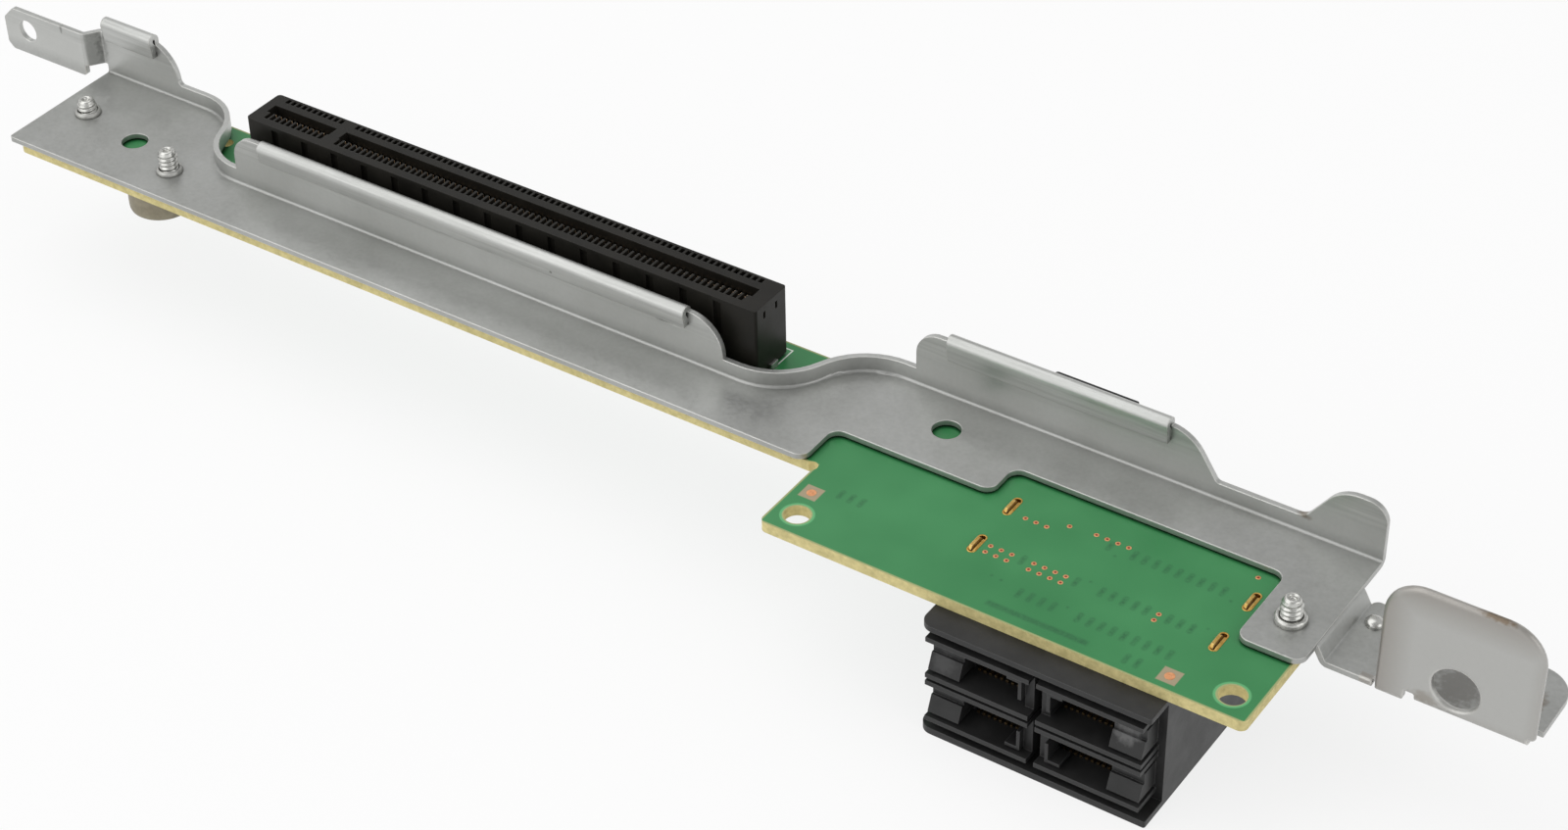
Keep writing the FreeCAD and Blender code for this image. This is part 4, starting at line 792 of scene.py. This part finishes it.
DISC_TREE = make_disc_tree()
for name, places, ring_radius, plug_radius, plug_finish in (
        ("board_vias", via_places, 0.36, 0.17, VIA_HOLE),
        ("fiducial_dots", [on_board(x, y) for x, y in FIDUCIALS], 0.68, 0.2, COPPER)):
    rings = grow(name, places, DISC_TREE, Radius=ring_radius * MM, Height=RING_HEIGHT * MM, Corners=RING_CORNERS,
                 Finish=COPPER)
    plugs = grow("plugs", places, DISC_TREE, Radius=plug_radius * MM, Height=PLUG_HEIGHT * MM, Corners=PLUG_CORNERS,
                 Finish=plug_finish)
    keep(merge([rings, plugs], name), "gold_contact")

# %% [markdown]
# ## Turned pieces
#
# Screws, clinch nuts, the foot and the stud are round about one axis. The Screw modifier could turn a profile, but
# a short function that lays ring on ring makes the same solid and closes its poles. The result is a template, and
# one more tree sets it on its places.


# %% Helpers for templates
def smooth(mesh, angle=35):
    """Shades a mesh smooth, and keeps the edges that turn by more than the angle."""
    mesh.polygons.foreach_set("use_smooth", [True] * len(mesh.polygons))
    mesh.set_sharp_from_angle(angle=math.radians(angle))


def make_template(points, faces):
    """An object from points in millimetres and faces, which are turned outwards."""
    mesh = bpy.data.meshes.new("template")
    mesh.from_pydata([(x * MM, y * MM, z * MM) for x, y, z in points], [], faces)
    outwards = bmesh.new()
    outwards.from_mesh(mesh)
    bmesh.ops.recalc_face_normals(outwards, faces=outwards.faces)
    outwards.to_mesh(mesh)
    outwards.free()
    smooth(mesh)
    return put("template", mesh)


def turn_profile(outline, segments=48, hollow=False):
    """Turns (radius, height) corners, in millimetres, into a closed solid."""
    points, rings, faces = [], [], []
    for radius, height in outline:
        count = segments if radius > 0 else 1
        rings.append(range(len(points), len(points) + count))
        for step in range(count):
            angle = 2 * math.pi * step / segments
            points.append((radius * math.cos(angle), radius * math.sin(angle), height))
    for low, high in list(zip(rings, rings[1:])) + [(rings[-1], rings[0])] * hollow:
        for step in range(segments):
            following = (step + 1) % segments
            corners = [low[step % len(low)], low[following % len(low)], high[following % len(high)],
                       high[step % len(high)]]
            faces.append(list(dict.fromkeys(corners)))
    return make_template(points, faces)


print("Turned pieces can be made.")


# %% A tree that sets one template on many points
def make_scatter_tree():
    tree, given, result = new_geometry_tree("scatter", [("Template", "Object")])
    template = add(tree, "GeometryNodeObjectInfo", {"Object": given["Template"]})
    return spread_and_dress(tree, given, result, template.outputs["Geometry"])


SCATTER_TREE = make_scatter_tree()


def scatter(name, template, places, finish):
    """Copies a template onto every place, as one mesh, and removes the template."""
    made = grow(name, places, SCATTER_TREE, Template=template, Finish=finish)
    bpy.data.objects.remove(template)
    return made


print("Templates can be scattered.")

# %% [markdown]
# ## Threaded screws
#
# Each screw comes up through the board and ends in a short thread above its clinch nut. A real thread could be
# swept along a helix, but a cylinder that swells and shrinks gives the same look with clean faces: at each point,
# the height in turns of the pitch less the turn about the axis says how near the crest is. Geometry Nodes work
# that out, and the length, pitch and ridge stay named inputs.

# %% Places of the screws
BOARD_UNDERSIDE = -1.6
SHORT_SCREW = (-32.5, 19.5)
LONG_SCREWS = [(-11.35, 14.3), (171.6, 14.05)]
SHORT_TIP = 3.6
LONG_TIP = 4.8
TIP_HEIGHT = 0.45
print("The threads end", SHORT_TIP, "and", LONG_TIP, "mm above the board.")


# %% The screw tree
def make_screw_tree():
    """A head, a threaded shank and a tip on every point."""
    tree, given, result = new_geometry_tree(
        "threaded screw",
        [("Head", "Object"), ("Tip", "Object"), ("Core radius", "Float", 1.2 * MM), ("Ridge", "Float", 0.25 * MM),
         ("Pitch", "Float", 0.7 * MM), ("Length", "Float", 6 * MM), ("Fade", "Float", 0.5 * MM)])
    length = given["Length"]
    shank = add(tree, "GeometryNodeMeshCylinder",
                {"Vertices": 40, "Side Segments": 110, "Radius": given["Core radius"], "Depth": length})
    place = split(tree, tree.nodes.new("GeometryNodeInputPosition").outputs[0])
    height = calc(tree, "ADD", place[2], calc(tree, "MULTIPLY", length, 0.5))
    turns = calc(tree, "DIVIDE", calc(tree, "ARCTAN2", place[1], place[0]), 2 * math.pi)
    phase = calc(tree, "FRACT", calc(tree, "SUBTRACT", calc(tree, "DIVIDE", height, given["Pitch"]), turns))
    wave = calc(tree, "SUBTRACT", 1.0, calc(tree, "ABSOLUTE", calc(tree, "MULTIPLY_ADD", phase, 2.0, -1.0)))
    # Crest and root are a little flat, and the ridge dies away towards the tip
    crest = rescale(tree, wave, 0.12, 0.88)
    fade = rescale(tree, calc(tree, "DIVIDE", calc(tree, "SUBTRACT", length, height), given["Fade"]), 0.0, 1.0)
    ridge = calc(tree, "MULTIPLY", calc(tree, "MULTIPLY", crest, fade), given["Ridge"])
    swell = calc(tree, "ADD", 1.0, calc(tree, "DIVIDE", ridge, given["Core radius"]))
    moved = add(tree, "ShaderNodeCombineXYZ", {0: calc(tree, "MULTIPLY", place[0], swell),
                                               1: calc(tree, "MULTIPLY", place[1], swell), 2: height})
    thread = add(tree, "GeometryNodeSetPosition", {"Geometry": shank.outputs[0], "Position": moved.outputs[0]})
    head = add(tree, "GeometryNodeObjectInfo", {"Object": given["Head"]})
    tip = add(tree, "GeometryNodeObjectInfo", {"Object": given["Tip"]})
    rise = add(tree, "ShaderNodeCombineXYZ", {2: length}).outputs[0]
    raised = add(tree, "GeometryNodeTransform", {"Geometry": tip.outputs["Geometry"], "Translation": rise})
    whole = tree.nodes.new("GeometryNodeJoinGeometry")
    for part in (thread.outputs[0], head.outputs["Geometry"], raised.outputs[0]):
        tree.links.new(part, whole.inputs[0])
    return spread_and_dress(tree, given, result, whole.outputs[0])


SCREW_TREE = make_screw_tree()
print("Tree:", SCREW_TREE.name)

# %% Grow the screws
# The head hangs below the board, with a square-edged driver recess; the tip is a short collar round a dimple.
screw_head = turn_profile([
    (0, -0.8), (1.0, -0.9), (1.25, -1.9), (2.1, -1.85), (2.55, -1.6), (2.75, -1.1), (2.8, -0.6), (2.8, 0), (0, 0)])
screw_tip = turn_profile([
    (0, -0.3), (1.19, -0.3), (1.19, 0.05), (1.05, 0.32), (0.85, TIP_HEIGHT), (0.62, 0.42), (0.48, 0.2), (0.4, -0.1),
    (0, -0.1)])
for name, node, places, tip_height in (("short_threaded_screw", "short_screw", [SHORT_SCREW], SHORT_TIP),
                                       ("long_threaded_screws", "long_screws", LONG_SCREWS, LONG_TIP)):
    screws = grow(name, [on_board(x, y, BOARD_UNDERSIDE) for x, y in places], SCREW_TREE, Head=screw_head,
                  Tip=screw_tip, Finish=SCREW_STEEL, Length=(tip_height - TIP_HEIGHT - BOARD_UNDERSIDE) * MM)
    smooth(screws.data, 60)
    keep(screws, "screw_steel", node)
for template in (screw_head, screw_tip):
    bpy.data.objects.remove(template)

# %% [markdown]
# ## Nuts, foot and stud
#
# The clinch nuts are pressed into the plate: a shank fills the hole and a low collar with a rounded rim lies on
# top. The foot under the board flares where it meets it and has a rounded base. The stud is a small dome that finds
# its place in the chassis.

# %% Clinch nuts
NUT_BORE = 1.5
NUT_SHANK = 1.9
nuts = []
for rim, top, finish, places in ((1.96, 1.8, DULL_STEEL, [SHORT_SCREW, LONG_SCREWS[0]]),
                                 (2.12, 2.05, SCREW_STEEL, [LONG_SCREWS[1]])):
    nut = turn_profile([
        (NUT_BORE, 0.0), (NUT_SHANK, 0.0), (NUT_SHANK, PLATE_TOP + 0.02), (rim - 0.05, PLATE_TOP),
        (rim, PLATE_TOP + 0.12), (rim, top - 0.4), (rim - 0.08, top - 0.18), (rim - 0.24, top - 0.05),
        (rim - 0.4, top), (NUT_BORE + 0.06, top - 0.05), (NUT_BORE, top - 0.2)], hollow=True)
    nuts.append(scatter("nuts", nut, [on_board(x, y) for x, y in places], finish))
keep(merge(nuts, "turned_clinch_nuts"), "nut_steel", "clinch_nuts")

# %% Foot
FOOT = (-19.4, 19.5)
foot = turn_profile([
    (0, -10.6), (4.25, -10.6), (4.6, -10.52), (4.85, -10.3), (4.97, -9.95), (5.0, -9.5), (5.0, -4.9), (5.04, -4.2),
    (5.16, -3.4), (5.4, -2.7), (5.75, -2.25), (5.9, -2.1), (5.9, BOARD_UNDERSIDE), (0, BOARD_UNDERSIDE)],
    segments=72)
keep(scatter("turned_foot", foot, [on_board(*FOOT)], FOOT_METAL), "foot_metal", "support_foot")

# %% Stud
STUD = (179.4, 21.5)
STUD_RADIUS = 1.22
LOWER_PLATE_TOP = -1.3
DOME_START = LOWER_PLATE_TOP + 0.25
stud_top = (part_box("locating_stud")[1].z - DATUM.z) / MM
quarter = [math.radians(turned) for turned in range(0, 90, 15)]
stud = turn_profile([(0, -2.1), (0.8, -2.1), (0.8, LOWER_PLATE_TOP), (STUD_RADIUS, LOWER_PLATE_TOP)]
                    + [(STUD_RADIUS * math.cos(turned), DOME_START + (stud_top - DOME_START) * math.sin(turned))
                       for turned in quarter] + [(0, stud_top)])
keep(scatter("domed_stud", stud, [on_board(*STUD)], SCREW_STEEL), "screw_steel", "locating_stud")

# %% [markdown]
# ## Bent strips
#
# Spring contacts and the legs that lock the port housing to the board are strips of sheet, bent along one line.
# A curve with a flat profile would do, but its ends need capping and its twist needs care. Here the strip is
# built from its middle line: each point gets two neighbours half a thickness away, and the loop is pushed out to
# the strip's width.


# %% Helpers for bent strips
def prism(outline, low_x, high_x):
    """A (y, z) outline, in millimetres, pushed out along X and closed at both ends."""
    count = len(outline)
    points = [(x, y, z) for x in (low_x, high_x) for y, z in outline]
    faces = [list(range(count)), list(range(count, 2 * count))]
    faces += [[step, (step + 1) % count, count + (step + 1) % count, count + step] for step in range(count)]
    return make_template(points, faces)


def bent_strip(line, thick, width):
    """A strip bent along (y, z) points in millimetres."""
    front, back = [], []
    for number, (y, z) in enumerate(line):
        before = Vector(line[max(number - 1, 0)])
        after = Vector(line[min(number + 1, len(line) - 1)])
        along = (after - before).normalized()
        aside = Vector((-along.y, along.x)) * thick / 2
        front.append((y + aside.x, z + aside.y))
        back.append((y - aside.x, z - aside.y))
    return prism(front + back[::-1], -width / 2, width / 2)


print("Strips can be bent.")

# %% Slot contacts
# Each contact rises from the floor of its window, bows into the channel to press on the card's edge, and turns
# back at the tip.
CONTACT_WIDTH = 0.4
CONTACT_THICK = 0.2
FIRST_CONTACT = 2.55
SHORT_SIDE = 11
LONG_SIDE = 71
KEY_GAP = 3.0
contact_x = [FIRST_CONTACT + step for step in range(SHORT_SIDE)]
contact_x += [contact_x[-1] + KEY_GAP + step for step in range(LONG_SIDE)]
FRONT_LINE = [(21.5, 1.2), (21.55, 3.6), (21.9, 5.6), (22.75, 7.3), (23.25, 8.4), (23.4, 9.2), (23.38, 9.9),
              (23.3, 10.65)]
REAR_LINE = [(26.75, 1.2), (26.7, 3.2), (26.3, 5.0), (25.2, 6.5), (24.35, 7.6), (24.05, 8.4), (24.1, 9.0),
             (24.25, 9.5)]
for name, line, node in (("front_spring_contacts", FRONT_LINE, "slot_contacts_front"),
                         ("rear_spring_contacts", REAR_LINE, "slot_contacts_rear")):
    contact = bent_strip(line, CONTACT_THICK, CONTACT_WIDTH)
    keep(scatter(name, contact, [on_board(x, 0) for x in contact_x], SPRING_GOLD), "gold_contact", node)

# %% Legs of the port housing
# Each leg is a folded strip that stands in a plated slot of the board: the front leaf ends a little proud, the
# rear one below the surface.
LEG_PLACES = [(x, y) for x in (131.4, 165.6) for y in (6.9, 15.6)]
LEG_LEAVES = [(-0.50, -0.08, 0.32), (0.10, 0.50, -0.12)]
LEG_HALF = 1.4
LEG_TIP_HALF = 0.98
LEG_BOTTOM = -8.6
leaves = []
for low_x, high_x, top in LEG_LEAVES:
    neck = min(top, 0) - 0.1
    right = [(LEG_HALF, LEG_BOTTOM), (LEG_HALF, neck), (LEG_TIP_HALF, top)]
    leaf = prism(right + [(-y, z) for y, z in right[::-1]], low_x, high_x)
    leaves.append(scatter("leaves", leaf, [on_board(x, y) for x, y in LEG_PLACES], BRASS))
keep(merge(leaves, "folded_board_locks"), "tinned_metal", "port_board_locks")

# %% [markdown]
# ## Hem flaps
#
# The tops of the three raised walls are folded over and pressed nearly flat. The frame's hems are right in place
# and size, but on the photo the folded flap is smoother and reaches a little lower. A thin cover carries that: a
# round top, then a straight flap that leans in to the wall. It lies over the frame's hem and follows its ends.

# %% Hem covers
HEM_SMALL = 0.225
SHEET = 0.8
# How far the cover lies outside the hem, how thick it is over the fold, and how deep its back lies in the wall
COVER = 0.03
COVER_DEPTH = 0.5
COVER_BACK = 0.1
# How far the flap leans in, and the height of the bevel at its lower edge
FLAP_LEAN = 0.36
FLAP_BEVEL = 0.2


def hem_cover(start, stop, inner, axis_height, lip):
    """A folded flap over one hem; inner is the wall's front face, lip the flap's whole height."""
    outside = HEM_SMALL + SHEET + COVER
    inside = outside - COVER_DEPTH
    middle = inner - HEM_SMALL
    foot = axis_height + outside - lip
    arc = [(math.cos(math.radians(turned)), math.sin(math.radians(turned))) for turned in range(0, 181, 12)]
    outer = [(middle + outside * across, axis_height + outside * up) for across, up in arc]
    flap = [(middle - outside + FLAP_LEAN, foot + FLAP_BEVEL), (inner - SHEET - 0.05, foot)]
    back = [(inner - COVER_BACK, foot), (inner - COVER_BACK, axis_height - 1.2),
            (middle - inside, axis_height - 0.6)]
    rounded = [(middle + inside * across, axis_height + inside * up) for across, up in arc[::-1]]
    return prism(outer + flap + back + rounded, start, stop)


HEMS = [
    # start and end along X, the wall's front face, height of the fold's axis, height of the flap
    ("left_hem_flap", -36.88, -27.02, 29.9, 10.15, 3.85),
    ("front_hem_flap", 4.92, 79.68, 17.5, 9.15, 3.15),
    ("right_hem_flap", 113.22, 145.98, 29.9, 10.15, 3.8),
]
for name, *sizes in HEMS:
    keep(scatter(name, hem_cover(*sizes), [on_board(0, 0)], ZINC), "zinc_steel")

# %% [markdown]
# ## Studio
#
# The part lies on a pale floor under three soft lamps. Metal shows what it reflects, so the lamps are large and
# stand clear of the direction in which the flat plates mirror the camera. The key lamp draws the bright line along
# the plate's edges and bends, helped there by a painted highlight in the steel's colour, and the wide top lamp the
# softer one along the folded tops. The floor and the sky turn white only for the camera and for reflections, so the
# light on the part stays at a plain level and the floor keeps its shadow.

# %% Floor
FLOOR_REACH = 3
FLOOR_WHITENING = 0.80
floor_level = cad_box[0].z
floor_mesh = bpy.data.meshes.new("floor")
floor_mesh.from_pydata([(-FLOOR_REACH, -FLOOR_REACH, floor_level), (FLOOR_REACH, -FLOOR_REACH, floor_level),
                        (FLOOR_REACH, FLOOR_REACH, floor_level), (-FLOOR_REACH, FLOOR_REACH, floor_level)],
                       [], [(0, 1, 2, 3)])
floor = put("floor", floor_mesh)


def seen_directly(tree):
    """1 for rays from the camera, from a mirror or through glass, and 0 for the light that falls on things."""
    path = tree.nodes.new("ShaderNodeLightPath").outputs
    return strongest(tree, [path["Is Camera Ray"], path["Is Glossy Ray"], path["Is Transmission Ray"]])


floor_material, floor_tree, floor_shader = new_material("pale_floor")
fill(floor_tree, floor_shader, {"Base Color": (0.84, 0.84, 0.84, 1), "Roughness": 0.9})
glow = add(floor_tree, "ShaderNodeEmission", {"Color": (1, 1, 1, 1), "Strength": 1.0})
whitened = add(floor_tree, "ShaderNodeMixShader",
               {0: calc(floor_tree, "MULTIPLY", seen_directly(floor_tree), FLOOR_WHITENING),
                1: floor_shader["Base Color"].node.outputs[0], 2: glow.outputs[0]})
floor_tree.links.new(whitened.outputs[0], floor_tree.nodes["Material Output"].inputs[0])
floor_mesh.materials.append(floor_material)
print("The floor lies at", round(floor_level / MM, 2), "mm.")

# %% World and lamps
SKY_LIGHT = 0.62
CEILING = 0.52
LAMPS = [
    # name, place from the part's middle, size, power
    ("key_lamp", (-0.5, -0.75, 0.65), 1.1, 4.5),
    ("top_lamp", (-0.4, 0.14, 0.92), 0.9, 3.0),
    ("side_lamp", (0.9, 0.0, 0.5), 0.6, 1.5),
]
world = bpy.data.worlds.new("studio")
scene.world = world
world.use_nodes = True
world_tree = world.node_tree
world_tree.nodes.clear()
ray_rise = split(world_tree, coordinate(world_tree, "Generated"))[2]
backdrop = rescale(world_tree, ray_rise, 0.15, 0.50, 1.0, CEILING)
strength = add(world_tree, "ShaderNodeMix", {0: seen_directly(world_tree), 2: SKY_LIGHT, 3: backdrop}).outputs[0]
background = add(world_tree, "ShaderNodeBackground", {"Color": (1, 1, 1, 1), "Strength": strength})
world_output = world_tree.nodes.new("ShaderNodeOutputWorld")
world_tree.links.new(background.outputs[0], world_output.inputs[0])

middle = (cad_box[0] + cad_box[1]) / 2
for name, away, size, power in LAMPS:
    lamp = put(name, bpy.data.lights.new(name, "AREA"))
    lamp.data.size = size
    lamp.data.energy = power
    aimed = (-Vector(away)).to_track_quat("-Z", "Y").to_matrix().to_4x4()
    lamp.matrix_world = Matrix.Translation(middle + Vector(away)) @ aimed
print(len(LAMPS), "lamps light the part.")

# %% Sizes and finish
print("CAD box", [tuple(round(part, 4) for part in corner) for corner in cad_box])
